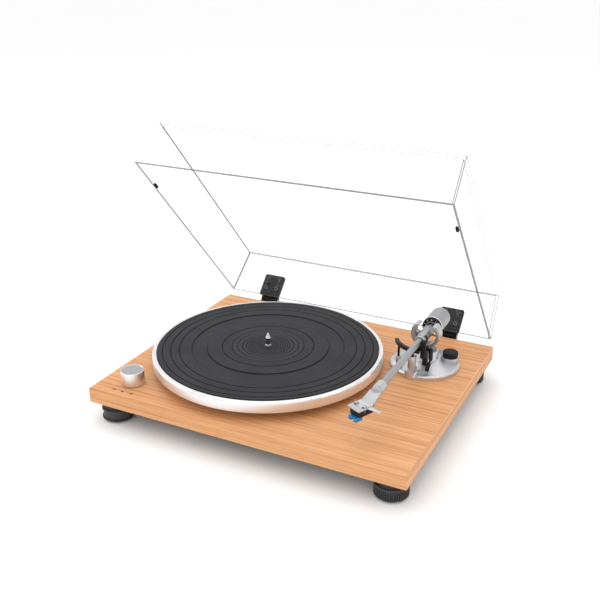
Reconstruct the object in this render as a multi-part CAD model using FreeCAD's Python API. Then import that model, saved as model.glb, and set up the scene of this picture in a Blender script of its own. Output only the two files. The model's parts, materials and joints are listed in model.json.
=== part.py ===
import FreeCAD, Part
import math
import os

# A belt-drive record player: wooden plinth, platter and mat, tonearm with cartridge, hinged clear cover.
# Lengths are in millimetres. While it is built, the origin is at the centre of the plinth's top face,
# +X runs to the right, +Y to the rear and +Z up. At the end everything moves so that the origin is on the
# standing surface, under the middle of the whole object with its cover open.

Vec = FreeCAD.Vector
x_axis = Vec(1, 0, 0)
y_axis = Vec(0, 1, 0)
z_axis = Vec(0, 0, 1)

# clearances
run_gap = 0.05      # radial, a shaft in its bearing
push_gap = 0.1      # around a piece let into a pocket
pass_gap = 0.3      # between pieces that move past each other

# plinth and its underside
plinth_width = 420.0
plinth_depth = 340.0
plinth_thick = 20.0
plinth_edge = 1.5
top_skin = 5.0              # wood left above the routed pockets
bottom_cover_thick = 3.0
bottom_cover_inset = 10.0
channel_width = 10.0
channel_depth = 8.0         # above the bottom cover

# feet
foot_height = 25.0
foot_radius = 20.0
foot_inset_x = 25.0         # foot centre from the plinth's side
foot_inset_y = 23.0
foot_collar_radius = 16.0
foot_collar_height = 10.0
foot_pad_radius = 17.0
foot_pad_thick = 1.5
foot_screw_radius = 2.5
foot_screw_reach = 12.0     # into the plinth

# small screws
screw_radius = 1.5
screw_head_radius = 2.8
screw_head_height = 1.8
screw_reach = 10.0

# platter, mat and bearing
platter_inset_x = 167.0     # platter's axis from the plinth's left side
platter_y = -8.4
platter_radius = 150.0
platter_bottom = 10.0
platter_rim_top = 24.0
platter_rim_wall = 8.0
platter_plate_thick = 5.0
platter_chamfer = 2.0
mat_radius = 144.0
mat_thick = 3.0
mat_proud = 1.0             # mat above the rim
mat_hole_gap = 0.4          # around the spindle
mat_band_inner = 79.0
mat_band_outer = 99.5
mat_band_depth = 0.8
mat_groove_width = 1.4
mat_groove_depth = 0.7
mat_grooves = (17.0, 21.0, 25.0, 29.0, 33.5, 39.7, 46.8, 59.7, 115.2, 126.4, 137.0)
hub_radius = 20.0
hub_bottom = 7.0
drive_ring_radius = 85.0
drive_ring_wall = 5.0
drive_ring_bottom = 9.0
spindle_radius = 4.0        # in the bearing and the platter's hub
record_pin_radius = 3.58    # above the mat, for the record's hole
spindle_above_mat = 18.0
spindle_tip_length = 7.0
bearing_radius = 8.0
bearing_flange_radius = 22.0
bearing_flange_thick = 3.0
bearing_top = 6.0
bearing_screw_circle = 15.0
thrust_ball_radius = 2.5
thrust_cap_thick = 2.0
bearing_floor_gap = 0.5     # over the bottom cover

# motor, pulley and belt
motor_distance = 108.0      # from the platter's axis
motor_angle = 215.0
motor_radius = 17.5
motor_height = 18.5
motor_hole_gap = 1.5
motor_plate_radius = 27.0
motor_plate_thick = 1.5
motor_plate_hole = 4.0
grommet_radius = 4.5
grommet_thick = 2.0
motor_screw_circle = 22.0
motor_shaft_radius = 1.0
motor_shaft_depth = 10.0    # inside the motor
pulley_radius = 6.3
pulley_flange = 0.9
pulley_bottom = 8.5
pulley_top = 15.0
belt_bottom = 10.0
belt_width = 4.0
belt_thick = 0.6
belt_gap = 0.1

# speed knob and switch
knob_inset_x = 42.0         # from the plinth's left side
knob_inset_y = 36.0         # from its front
knob_radius = 14.7
knob_bottom = 0.5
knob_top = 19.0
knob_edge = 0.8
knob_recess_depth = 0.4
knob_shaft_radius = 3.0
knob_shaft_length = 11.0    # above the plinth
switch_size = 20.0
switch_height = 9.0
switch_pocket_gap = 2.0

# circuit board and rear panel
board_pocket_half = 70.0
board_pocket_front = 70.0   # from the plinth's rear face
board_pocket_rear = 10.0
board_size = (120.0, 42.0, 1.6)
board_inset = 44.0          # board's middle from the rear face
board_post_height = 2.5
board_post_radius = 3.0
jack_plate_width = 134.0
jack_plate_height = 14.0
jack_plate_thick = 2.0
jack_plate_middle = -10.8   # height of the sockets' centre line
jack_window_width = 120.0
jack_window_height = 11.0
rca_places = (16.0, 30.0)
rca_radius = 4.15
rca_shoulder_radius = 4.8
rca_shoulder_end = 0.8      # outside the panel
rca_bore = 1.6
rca_length = 9.0
rca_body = (11.0, 8.0, 10.0)
dc_place = -45.0
dc_radius = 4.0
dc_bore = 2.8
output_switch_place = -12.0
output_switch_travel = 4.0
slider_size = 4.0
slider_length = 5.0
ground_place = 50.0
ground_post_radius = 2.0
ground_post_length = 11.0
ground_nut_radius = 4.5
ground_nut_length = 5.0

# tonearm base
arm_inset_x = 66.0          # tonearm pivot from the plinth's right side
arm_inset_y = 95.0          # and from its rear
arm_height = 47.0           # tonearm axis above the plinth
base_radius = 44.7
base_rim = 6.0
base_chamfer = 1.5
cone_outer = 40.0
cone_inner = 18.0
cone_top = 14.0
cone_start = -115.0
cone_sweep = 210.0
turret_radius = 16.0
turret_top = 24.0
pivot_housing_radius = 8.0
arm_hole_gap = 1.0
clamp_nut_radius = 18.0
clamp_nut_thick = 4.0
pivot_housing_bottom = -12.0

# yoke
yoke_outer = 19.0
yoke_inner = 14.5
yoke_length = 13.4
yoke_slot = 19.0
yoke_top = 12.8             # above the tonearm axis
yoke_post_radius = 9.0
yoke_shaft_radius = 4.0
yoke_shaft_bore = 2.0
pivot_screw_radius = 2.5
pivot_pin_radius = 1.0
pivot_pin_depth = 1.6       # in the arm's side

# tonearm: places along it are measured from its pivot, negative towards the headshell
tube_radius = 4.1
tube_wall = 0.6
tube_front = -163.0
neck_front = -27.0
neck_ring_radius = 6.0
neck_ring_end = -20.0
neck_radius = 7.2
neck_rear = 9.0
neck_socket = 12.0          # tube held in the neck
rear_shaft_radius = 5.0
rear_shaft_start = 3.0
rear_shaft_end = 62.0
sleeve_radius = 6.5
dial_front = 17.5
dial_length = 5.2
dial_radius = 12.6
dial_boss_radius = 8.5
weight_radius = 13.2
weight_rear = 58.0
weight_chamfer = 1.5

# headshell and cartridge
collar_front = -170.0
collar_rear = -154.0
collar_radius = 6.5
plug_radius = 4.0
shell_thick = 2.4
shell_gap = 3.0             # collar to the plate's rear edge
shell_below_axis = 1.2      # underside of the plate under the tonearm axis
offset_angle = 24.0
cartridge_across = -3.3     # middle of the two fixing screws, from the tonearm's axis
cartridge_along = -210.0
screw_spacing = 12.7
shell_slot_length = 7.0
shell_slot_width = 2.8
cartridge_width = 15.0
cartridge_back = 13.0
cartridge_front = 8.0
cartridge_height = 8.0
guard_width = 12.0
guard_back = 2.0
guard_front = 12.0
guard_height = 5.0
stylus_ahead = 10.5
stylus_drop = 17.0          # stylus tip under the tonearm axis
lead_radius = 0.5

# lift, armrest and lever: places in plan are measured from the tonearm's pivot
rail_radius = 38.0
rail_width = 4.8
rail_thick = 4.2
rail_under_tube = 3.5
rail_start = 205.0
rail_end = 276.0
lift_angle = 262.0
lift_lug_radius = 8.0
lift_lug_top = 10.0
lift_cylinder_radius = 5.0
lift_cylinder_below = 17.0  # cylinder's top under the tonearm's axis
plunger_radius = 2.4
guide_angle = 224.0
guide_radius = 1.5
guide_bush_radius = 3.2
guide_bush_top = 20.0
rest_across = (3.5, 9.5)
rest_along = (-33.0, -17.2)
rest_saddle_length = 4.5
rest_post_below = 9.0       # post's top under the tonearm's axis
rest_leg = 5.5
rest_arm_thick = 12.0       # the part of the rest that reaches forward from its leg
rest_gap = 0.65
rest_wall_above = 3.0       # saddle's wall above the axis
clip_gap = 0.9
clip_thick = 1.6
clip_width = 4.0
clip_pin_radius = 1.0
clip_pin_across = 8.5
clip_eye_radius = 2.3
clip_open_angle = 75.0
lever_along = -20.2
lever_below = 13.0          # lever's shaft under the tonearm's axis
lever_shaft_radius = 1.8
lever_end = 13.4
lever_bend_place = (16.0, -28.0, -8.5)     # the last number is from the lever's shaft
lever_tip_place = (14.0, -36.0, -23.0)
lever_radius = 2.7
lever_stub_radius = 1.4
lever_grip_radius = 2.5
skate_across = 29.5
skate_along = 13.0
skate_housing_radius = 11.3
skate_housing_top = 14.5
skate_knob_radius = 10.0
skate_knob_top = 21.0

# dust cover and hinges
cover_inset_side = 5.0      # cover's rim inside the plinth's edges
cover_inset_front = 2.0
cover_inset_rear = 1.0
cover_rim = 1.0
cover_above_arm = 20.0      # cover's top over the tonearm's axis
cover_draft = 5.0
cover_wall = 3.0
cover_open_angle = 48.4
hinge_behind = 8.8          # hinge axis behind the plinth's rear face
hinge_z = 0.0
hinge_inset = 68.0          # hinge's middle from the plinth's side
hinge_bracket_width = 27.0
hinge_bracket_thick = 3.0
hinge_knuckle_radius = 4.5
hinge_knuckle_width = 6.0
hinge_pin_radius = 2.0
hinge_pad_width = 33.0
hinge_pad_thick = 4.0
hinge_pad_low = 1.6
hinge_pad_corner = 3.0
hinge_pad_high = 36.0
bumper_from_front = (50.0, 58.0)
bumper_size = (3.0, 3.0)

# places that follow from the sizes above
rear_face = plinth_depth / 2
platter_x = -plinth_width / 2 + platter_inset_x
knob_x = -plinth_width / 2 + knob_inset_x
knob_y = -plinth_depth / 2 + knob_inset_y
arm_x = plinth_width / 2 - arm_inset_x
arm_y = plinth_depth / 2 - arm_inset_y
rest_x = (arm_x + rest_across[0], arm_x + rest_across[1])
rest_y = (arm_y + rest_along[0], arm_y + rest_along[1])
rest_post_top = arm_height - rest_post_below
rest_wall_top = arm_height + rest_wall_above
lift_cylinder_top = arm_height - lift_cylinder_below
clip_pin_x = arm_x + clip_pin_across
lever_z = arm_height - lever_below
cover_top = arm_height + cover_above_arm
lever_x = arm_x + lever_end
lever_y = arm_y + lever_along
lever_bend = (arm_x + lever_bend_place[0], arm_y + lever_bend_place[1], lever_z + lever_bend_place[2])
lever_tip = (arm_x + lever_tip_place[0], arm_y + lever_tip_place[1], lever_z + lever_tip_place[2])
skate_x = arm_x + skate_across
skate_y = arm_y + skate_along
cartridge_x = arm_x + cartridge_across
cartridge_y = arm_y + cartridge_along
cover_half_width = plinth_width / 2 - cover_inset_side
cover_front = -plinth_depth / 2 + cover_inset_front
cover_rear = plinth_depth / 2 - cover_inset_rear
hinge_y = rear_face + hinge_behind
hinge_x = plinth_width / 2 - hinge_inset
bumper_y = (-plinth_depth / 2 + bumper_from_front[0], -plinth_depth / 2 + bumper_from_front[1])
board_centre_y = rear_face - board_inset
board_pocket = (-board_pocket_half, board_pocket_half, rear_face - board_pocket_front,
                rear_face - board_pocket_rear)
foot_bottom = -plinth_thick - foot_height
inside_bottom = -plinth_thick + bottom_cover_thick
pocket_top = -top_skin
mat_bottom = platter_rim_top + mat_proud - mat_thick
mat_top = platter_rim_top + mat_proud
mat_hole_radius = spindle_radius + mat_hole_gap
motor_x = platter_x + motor_distance * math.cos(math.radians(motor_angle))
motor_y = platter_y + motor_distance * math.sin(math.radians(motor_angle))
motor_plate_bottom = grommet_thick
tube_bottom = arm_height - tube_radius
rail_top = tube_bottom - rail_under_tube
shell_bottom = arm_height - shell_below_axis
shell_top = shell_bottom + shell_thick


def cylinder(radius, low, high, x=0.0, y=0.0):
    return Part.makeCylinder(radius, high - low, Vec(x, y, low), z_axis)


def tube(outer, inner, low, high, x=0.0, y=0.0):
    return cylinder(outer, low, high, x, y).cut(cylinder(inner, low - 1, high + 1, x, y))


def rod(start, end, radius):
    first = Vec(*start)
    along = Vec(*end) - first
    return Part.makeCylinder(radius, along.Length, first, along)


def block(x_range, y_range, z_range):
    low = Vec(x_range[0], y_range[0], z_range[0])
    return Part.makeBox(x_range[1] - x_range[0], y_range[1] - y_range[0], z_range[1] - z_range[0], low)


def box_at(size, x, y, low):
    return block((x - size[0] / 2, x + size[0] / 2), (y - size[1] / 2, y + size[1] / 2), (low, low + size[2]))


def turned(outline, centre=(0, 0, 0), axis=z_axis, angle=360.0):
    # outline is (radius, place along the axis) pairs
    points = [Vec(radius, 0, along) for radius, along in outline]
    face = Part.Face(Part.makePolygon(points + points[:1]))
    solid = face.revolve(Vec(0, 0, 0), z_axis, angle)
    if solid.Volume < 0:
        solid.reverse()
    solid.Placement = FreeCAD.Placement(Vec(*centre), FreeCAD.Rotation(z_axis, axis))
    return solid


def turned_on_arm(outline):
    # outline is (radius, place from the pivot) pairs about the tonearm's axis
    return turned(outline, (arm_x, arm_y, arm_height), y_axis)


def plate(points, low, high):
    corners = [Vec(x, y, low) for x, y in points]
    return Part.Face(Part.makePolygon(corners + corners[:1])).extrude(Vec(0, 0, high - low))


def around(count, radius, x, y, start=0.0):
    for step in range(count):
        angle = math.radians(start + step * 360.0 / count)
        yield x + radius * math.cos(angle), y + radius * math.sin(angle)


def on_arm_circle(angle, radius=rail_radius):
    turn = math.radians(angle)
    return arm_x + radius * math.cos(turn), arm_y + radius * math.sin(turn)


def wire(points, radius, bend):
    # straight runs joined by tangent arcs of one radius
    corners = [Vec(*point) for point in points]
    edges = []
    start = corners[0]
    for before, corner, after in zip(corners, corners[1:], corners[2:]):
        back = (before - corner).normalize()
        ahead = (after - corner).normalize()
        half = back.getAngle(ahead) / 2
        reach = bend / math.tan(half)
        first = corner + back * reach
        last = corner + ahead * reach
        inward = (back + ahead).normalize()
        middle = corner + inward * (bend / math.sin(half) - bend)
        edges.append(Part.LineSegment(start, first).toShape())
        edges.append(Part.Arc(first, middle, last).toShape())
        start = last
    edges.append(Part.LineSegment(start, corners[-1]).toShape())
    path = Part.Wire(edges)
    ring = Part.Wire(Part.makeCircle(radius, corners[0], corners[1] - corners[0]))
    return path.makePipeShell([ring], True, False)


def screw(x, y, seat, reach=screw_reach, radius=screw_radius):
    head = cylinder(screw_head_radius, seat, seat + screw_head_height, x, y)
    slot = block((x - 0.4, x + 0.4), (y - screw_head_radius, y + screw_head_radius),
                 (seat + 1.0, seat + screw_head_height))
    return head.cut(slot).fuse(cylinder(radius, seat - reach, seat, x, y)).removeSplitter()


foot_places = [(side * (plinth_width / 2 - foot_inset_x), end * (plinth_depth / 2 - foot_inset_y))
               for end in (-1, 1) for side in (-1, 1)]
bottom_screw_places = [(side * (plinth_width / 2 - 17), end * 60.0) for side in (-1, 1) for end in (-1, 1)]
bottom_screw_places += [(place, -plinth_depth / 2 + 17) for place in (-100.0, 0.0, 100.0)]
bottom_screw_places += [(place, plinth_depth / 2 - 17) for place in (-100.0, 100.0)]
bearing_screw_places = list(around(3, bearing_screw_circle, platter_x, platter_y, 90))
motor_screw_places = list(around(3, motor_screw_circle, motor_x, motor_y, 30))


def channels():
    # routed wire ways on the underside, from the switch and motor and from the tonearm to the board
    half = channel_width / 2
    high = (inside_bottom, inside_bottom + channel_depth)
    low_x, high_x, board_y, _ = board_pocket
    row = (board_y + 20 - half, board_y + 20 + half)
    return [block((knob_x, motor_x), (knob_y - half, knob_y + half), high),
            block((motor_x - half, motor_x + half), (knob_y - half, row[1]), high),
            block((motor_x - half, low_x), row, high),
            block((arm_x - half, arm_x + half), (arm_y, row[1]), high),
            block((high_x, arm_x + half), row, high)]


def plinth():
    half_x = plinth_width / 2
    half_y = plinth_depth / 2
    body = block((-half_x, half_x), (-half_y, half_y), (-plinth_thick, 0))
    body = body.makeFillet(plinth_edge, body.Edges)
    inset = bottom_cover_inset - push_gap
    x_low, x_high, y_low, y_high = board_pocket
    pocket = switch_size / 2 + switch_pocket_gap
    seat = jack_plate_thick
    window = jack_window_height / 2
    plate_half = jack_plate_height / 2 + push_gap
    cuts = [block((-half_x + inset, half_x - inset), (-half_y + inset, half_y - inset),
                  (-plinth_thick - 1, inside_bottom)),
            block((x_low, x_high), (y_low, y_high), (inside_bottom - 1, pocket_top)),
            block((knob_x - pocket, knob_x + pocket), (knob_y - pocket, knob_y + pocket),
                  (inside_bottom - 1, pocket_top)),
            block((-jack_window_width / 2, jack_window_width / 2), (y_high - 1, half_y + 1),
                  (jack_plate_middle - window, jack_plate_middle + window)),
            block((-jack_plate_width / 2 - push_gap, jack_plate_width / 2 + push_gap),
                  (half_y - seat, half_y + 1), (jack_plate_middle - plate_half,
                                                jack_plate_middle + plate_half)),
            cylinder(knob_shaft_radius + 1, pocket_top - 1, 1, knob_x, knob_y),
            cylinder(motor_radius + motor_hole_gap, -plinth_thick, 1, motor_x, motor_y),
            cylinder(bearing_radius + push_gap, -plinth_thick, 1, platter_x, platter_y),
            cylinder(pivot_housing_radius + arm_hole_gap, -plinth_thick, 1, arm_x, arm_y),
            cylinder(clamp_nut_radius + 3, inside_bottom - 1, pocket_top, arm_x, arm_y)]
    cuts += channels()
    cuts += [cylinder(screw_radius + run_gap, -screw_reach, 1, x, y) for x, y in bearing_screw_places]
    cuts += [cylinder(screw_radius + run_gap, -screw_reach, 1, x, y) for x, y in motor_screw_places]
    cuts += [cylinder(foot_screw_radius + run_gap, inside_bottom - 1, -plinth_thick + foot_screw_reach, x, y)
             for x, y in foot_places]
    cuts += [cylinder(screw_radius + run_gap, inside_bottom - 1, -plinth_thick + screw_reach, x, y)
             for x, y in bottom_screw_places]
    cuts += [rod((x, half_y + 1, jack_plate_middle), (x, half_y - screw_reach, jack_plate_middle),
                 screw_radius + run_gap) for x in jack_screw_places()]
    return body.cut(cuts)


def jack_screw_places():
    place = (jack_window_width + jack_plate_width) / 4
    return (-place, place)


def bottom_cover():
    half_x = plinth_width / 2 - bottom_cover_inset
    half_y = plinth_depth / 2 - bottom_cover_inset
    body = block((-half_x, half_x), (-half_y, half_y), (-plinth_thick, inside_bottom))
    posts = [cylinder(board_post_radius, inside_bottom, inside_bottom + board_post_height, x, y)
             for x, y in board_post_places()]
    holes = [cylinder(foot_screw_radius + run_gap, -plinth_thick - 1, inside_bottom + 1, x, y)
             for x, y in foot_places]
    for x, y in bottom_screw_places:
        holes.append(cylinder(screw_radius + run_gap, -plinth_thick - 1, inside_bottom + 1, x, y))
        holes.append(cylinder(screw_head_radius + push_gap, -plinth_thick - 1,
                              -plinth_thick + screw_head_height,
                              x, y))
    return body.fuse(posts).cut(holes).removeSplitter()


def board_post_places():
    half_x = board_size[0] / 2 - 5
    half_y = board_size[1] / 2 - 5
    return [(side * half_x, board_centre_y + end * half_y) for side in (-1, 1) for end in (-1, 1)]


def bottom_cover_screws():
    solids = []
    for x, y in bottom_screw_places:
        head = cylinder(screw_head_radius, -plinth_thick, -plinth_thick + screw_head_height, x, y)
        shank = cylinder(screw_radius, -plinth_thick, -plinth_thick + screw_reach - push_gap, x, y)
        slot = block((x - screw_head_radius, x + screw_head_radius), (y - 0.4, y + 0.4),
                     (-plinth_thick, -plinth_thick + 0.8))
        solids.append(head.fuse(shank).cut(slot).removeSplitter())
    return solids


def feet():
    ring_top = -plinth_thick - foot_collar_height
    low = foot_bottom + foot_pad_thick
    outline = [(foot_screw_radius + run_gap, ring_top + 2), (7.0, ring_top + 2), (7.0, low),
               (foot_radius - 1.5, low), (foot_radius, low + 1.5), (foot_radius, ring_top - 1),
               (foot_radius - 1, ring_top), (foot_collar_radius, ring_top),
               (foot_collar_radius, -plinth_thick), (foot_screw_radius + run_gap, -plinth_thick)]
    return [turned(outline, (x, y, 0)) for x, y in foot_places]


def foot_pads():
    low = foot_bottom
    return [cylinder(foot_pad_radius, low, low + foot_pad_thick, x, y) for x, y in foot_places]


def foot_screws():
    seat = -plinth_thick - foot_collar_height + 2
    solids = []
    for x, y in foot_places:
        head = cylinder(5.0, seat - 3, seat, x, y)
        shank = cylinder(foot_screw_radius, seat, -plinth_thick + foot_screw_reach - push_gap, x, y)
        cross = box_at((6.0, 1.2, 1.5), x, y, seat - 3).fuse(box_at((1.2, 6.0, 1.5), x, y, seat - 3))
        solids.append(head.fuse(shank).cut(cross).removeSplitter())
    return solids


def bearing_parts():
    bottom = inside_bottom + bearing_floor_gap
    bore = spindle_radius + run_gap
    outline = [(0, bottom), (bearing_radius, bottom), (bearing_radius, 0), (bearing_flange_radius, 0),
               (bearing_flange_radius, bearing_flange_thick), (bearing_radius, bearing_flange_thick),
               (bearing_radius, bearing_top), (bore, bearing_top), (bore, bottom + thrust_cap_thick),
               (0, bottom + thrust_cap_thick)]
    housing = turned(outline, (platter_x, platter_y, 0))
    holes = [cylinder(screw_radius + run_gap, -1, bearing_flange_thick + 1, x, y)
             for x, y in bearing_screw_places]
    ball_z = bottom + thrust_cap_thick + thrust_ball_radius
    ball = Part.makeSphere(thrust_ball_radius, Vec(platter_x, platter_y, ball_z))
    return [housing.cut(holes), ball]


def spindle():
    bottom = inside_bottom + bearing_floor_gap + thrust_cap_thick + 2 * thrust_ball_radius + run_gap
    top = mat_top + spindle_above_mat
    shoulder = top - spindle_tip_length
    pin = record_pin_radius
    outline = [(0, bottom), (spindle_radius, bottom), (spindle_radius, mat_top), (pin, mat_top),
               (pin, shoulder),
               (pin * 0.8, shoulder + 3.2), (pin * 0.35, top - 0.6), (0, top)]
    return turned(outline, (platter_x, platter_y, 0))


def platter():
    plate_low = mat_bottom - platter_plate_thick
    bore = spindle_radius
    ring_in = drive_ring_radius - drive_ring_wall
    rim_in = platter_radius - platter_rim_wall
    mat_seat = mat_radius + pass_gap
    outline = [(bore, hub_bottom), (hub_radius, hub_bottom), (hub_radius, plate_low), (ring_in, plate_low),
               (ring_in, drive_ring_bottom), (drive_ring_radius, drive_ring_bottom),
               (drive_ring_radius, plate_low), (rim_in, plate_low), (rim_in, platter_bottom),
               (platter_radius, platter_bottom), (platter_radius, platter_rim_top - platter_chamfer),
               (platter_radius - platter_chamfer, platter_rim_top), (mat_seat, platter_rim_top),
               (mat_seat, mat_bottom), (bore, mat_bottom)]
    return turned(outline, (platter_x, platter_y, 0))


def platter_mat():
    outline = [(mat_hole_radius, mat_bottom), (mat_radius, mat_bottom), (mat_radius, mat_top)]
    half = mat_groove_width / 2
    for radius in sorted(mat_grooves, reverse=True):
        if radius < mat_band_inner and (mat_band_inner, mat_top) not in outline:
            outline += [(mat_band_outer, mat_top), (mat_band_outer, mat_top - mat_band_depth),
                        (mat_band_inner, mat_top - mat_band_depth), (mat_band_inner, mat_top)]
        outline += [(radius + half, mat_top), (radius + half, mat_top - mat_groove_depth),
                    (radius - half, mat_top - mat_groove_depth), (radius - half, mat_top)]
    outline.append((mat_hole_radius, mat_top))
    return turned(outline, (platter_x, platter_y, 0))


def motor_parts():
    top = motor_plate_bottom
    can = cylinder(motor_radius, top - motor_height, top, motor_x, motor_y)
    can = can.makeFillet(1.5, [can.Edges[2]]) if can.Edges[2].BoundBox.ZMax < top - 1 else can
    can = can.cut(cylinder(motor_shaft_radius + run_gap, top - motor_shaft_depth - 1, top + 1, motor_x,
                           motor_y))
    mount = tube(motor_plate_radius, motor_plate_hole, top, top + motor_plate_thick, motor_x, motor_y)
    holes = [cylinder(screw_radius + run_gap, 0, top + 3, x, y) for x, y in motor_screw_places]
    grommets = [tube(grommet_radius, screw_radius + run_gap, 0, grommet_thick, x, y)
                for x, y in motor_screw_places]
    return [can], [mount.cut(holes)], grommets


def motor_pulley():
    shaft = cylinder(motor_shaft_radius, motor_plate_bottom - motor_shaft_depth, pulley_top, motor_x, motor_y)
    flange = pulley_radius + pulley_flange
    middle = (belt_bottom + belt_bottom + belt_width) / 2
    outline = [(motor_shaft_radius, pulley_bottom), (flange, pulley_bottom), (flange, belt_bottom - 0.6),
               (pulley_radius, belt_bottom - 0.3), (pulley_radius, middle),
               (pulley_radius, belt_bottom + belt_width + 0.3), (flange, belt_bottom + belt_width + 0.6),
               (flange, pulley_top), (motor_shaft_radius, pulley_top)]
    return [shaft, turned(outline, (motor_x, motor_y, 0))]


def belt_loop(ring_radius, small_radius, low, high):
    # the area inside a belt round the two circles, by their outer tangents
    lean = math.acos((ring_radius - small_radius) / motor_distance)
    turn = math.radians(motor_angle)

    def on(x, y, radius, angle):
        return Vec(x + radius * math.cos(turn + angle), y + radius * math.sin(turn + angle), low)

    big = [on(platter_x, platter_y, ring_radius, angle) for angle in (lean, math.pi, -lean)]
    small = [on(motor_x, motor_y, small_radius, angle) for angle in (-lean, 0, lean)]
    edges = [Part.Arc(*big).toShape(), Part.LineSegment(big[2], small[0]).toShape(),
             Part.Arc(*small).toShape(), Part.LineSegment(small[2], big[0]).toShape()]
    return Part.Face(Part.Wire(edges)).extrude(Vec(0, 0, high - low))


def drive_belt():
    high = belt_bottom + belt_width
    outer = belt_loop(drive_ring_radius + belt_gap + belt_thick, pulley_radius + belt_gap + belt_thick,
                      belt_bottom, high)
    return outer.cut(belt_loop(drive_ring_radius + belt_gap, pulley_radius + belt_gap, belt_bottom - 1,
                               high + 1))


def speed_control():
    low = pocket_top - switch_height
    body = box_at((switch_size, switch_size, switch_height), knob_x, knob_y, low)
    body = body.cut(cylinder(knob_shaft_radius + run_gap, low + 2, 1, knob_x, knob_y))
    shaft = cylinder(knob_shaft_radius, low + 2 + pass_gap, knob_shaft_length, knob_x, knob_y)
    outline = [(knob_shaft_radius, knob_bottom), (knob_radius, knob_bottom),
               (knob_radius, knob_top - knob_edge),
               (knob_radius - knob_edge, knob_top), (knob_radius - 2 * knob_edge, knob_top),
               (knob_radius - 2 * knob_edge, knob_top - knob_recess_depth), (0, knob_top - knob_recess_depth),
               (0, knob_shaft_length), (knob_shaft_radius, knob_shaft_length)]
    return [body], [shaft, turned(outline, (knob_x, knob_y, 0))]


def main_board():
    low = inside_bottom + board_post_height
    top = low + board_size[2]
    board = box_at(board_size, 0, board_centre_y, low)
    pieces = [board]
    for place in (-48.0, -36.0, -24.0):
        pieces.append(cylinder(3.2, top, top + 7.0, place, board_centre_y - 8))
    for place in (-6.0, 14.0, 34.0):
        pieces.append(box_at((9.0, 6.0, 2.0), place, board_centre_y + 4, top))
    pieces.append(box_at((14.0, 10.0, 6.0), 48.0, board_centre_y - 8, top))
    return pieces


def rear_panel():
    outside = rear_face
    inside = rear_face - jack_plate_thick
    middle = jack_plate_middle
    half = jack_plate_height / 2
    panel = block((-jack_plate_width / 2, jack_plate_width / 2), (inside, outside),
                  (middle - half, middle + half))
    holes = [rod((x, inside - 1, middle), (x, outside + 1, middle), screw_radius + run_gap)
             for x in jack_screw_places()]
    holes += [rod((x, inside - 1, middle), (x, outside + 1, middle), rca_shoulder_radius + push_gap)
              for x in rca_places]
    holes.append(rod((dc_place, inside - 1, middle), (dc_place, outside + 1, middle), dc_radius + push_gap))
    holes.append(rod((ground_place, inside - 1, middle), (ground_place, outside + 1, middle),
                     ground_post_radius))
    low_x = output_switch_place - slider_size / 2 - pass_gap
    high_x = output_switch_place + slider_size / 2 + output_switch_travel + pass_gap
    high_z = slider_size / 2 + pass_gap
    holes.append(block((low_x, high_x), (inside - 1, outside + 1), (middle - high_z, middle + high_z)))
    return panel.cut(holes)


def rear_sockets():
    inside = rear_face - jack_plate_thick
    middle = jack_plate_middle
    rca = []
    for x in rca_places:
        body = block((x - rca_body[0] / 2, x + rca_body[0] / 2), (inside - rca_body[1], inside),
                     (middle - rca_body[2] / 2, middle + rca_body[2] / 2))
        shoulder = rod((x, inside, middle), (x, rear_face + rca_shoulder_end, middle), rca_shoulder_radius)
        barrel = rod((x, inside, middle), (x, rear_face + rca_length, middle), rca_radius)
        bore = rod((x, inside - 2, middle), (x, rear_face + rca_length + 1, middle), rca_bore)
        rca.append(body.fuse([shoulder, barrel]).cut(bore).removeSplitter())
    body = block((dc_place - 5.5, dc_place + 5.5), (inside - 12, inside), (middle - 5, middle + 5))
    collar = rod((dc_place, inside, middle), (dc_place, rear_face + 0.8, middle), dc_radius)
    bore = rod((dc_place, inside - 9, middle), (dc_place, rear_face + 2, middle), dc_bore)
    contact = rod((dc_place, inside - 10, middle), (dc_place, rear_face - 1, middle), 1.0)
    dc_jack = body.fuse(collar).cut(bore).fuse(contact).removeSplitter()
    return rca, [dc_jack]


def output_switch():
    inside = rear_face - jack_plate_thick
    middle = jack_plate_middle
    span = (output_switch_place - 8.0, output_switch_place + 8.0 + output_switch_travel)
    body = block(span, (inside - 6, inside), (middle - 4.5, middle + 4.5))
    half = slider_size / 2
    low_x = output_switch_place - half
    high_x = output_switch_place + half + output_switch_travel
    way = block((low_x - pass_gap, high_x + pass_gap), (inside - 4, inside + 1),
                (middle - half - pass_gap, middle + half + pass_gap))
    slider = block((low_x, low_x + slider_size),
                   (inside - 4 + pass_gap, inside - 4 + pass_gap + slider_length + 3),
                   (middle - half, middle + half))
    return [body.cut(way)], [slider]


def ground_terminal():
    inside = rear_face - jack_plate_thick
    middle = jack_plate_middle
    end = rear_face + ground_post_length
    post = rod((ground_place, inside - 5, middle), (ground_place, end, middle), ground_post_radius)
    start = rear_face + pass_gap
    bore = ground_post_radius + run_gap
    outline = [(bore, start), (ground_nut_radius - 0.6, start), (ground_nut_radius, start + 0.6),
               (ground_nut_radius, start + ground_nut_length - 0.6),
               (ground_nut_radius - 0.6, start + ground_nut_length), (bore, start + ground_nut_length)]
    return [post], [turned(outline, (ground_place, 0, middle), y_axis)]


def small_screws():
    # the same short screw holds the bearing flange, the motor plate and the rear panel
    solids = [screw(x, y, bearing_flange_thick) for x, y in bearing_screw_places]
    solids += [screw(x, y, motor_plate_bottom + motor_plate_thick) for x, y in motor_screw_places]
    for x in jack_screw_places():
        one = screw(0, 0, 0, screw_reach - 1)
        one.Placement = FreeCAD.Placement(Vec(x, rear_face, jack_plate_middle),
                                          FreeCAD.Rotation(z_axis, y_axis))
        solids.append(one)
    return solids


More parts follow.
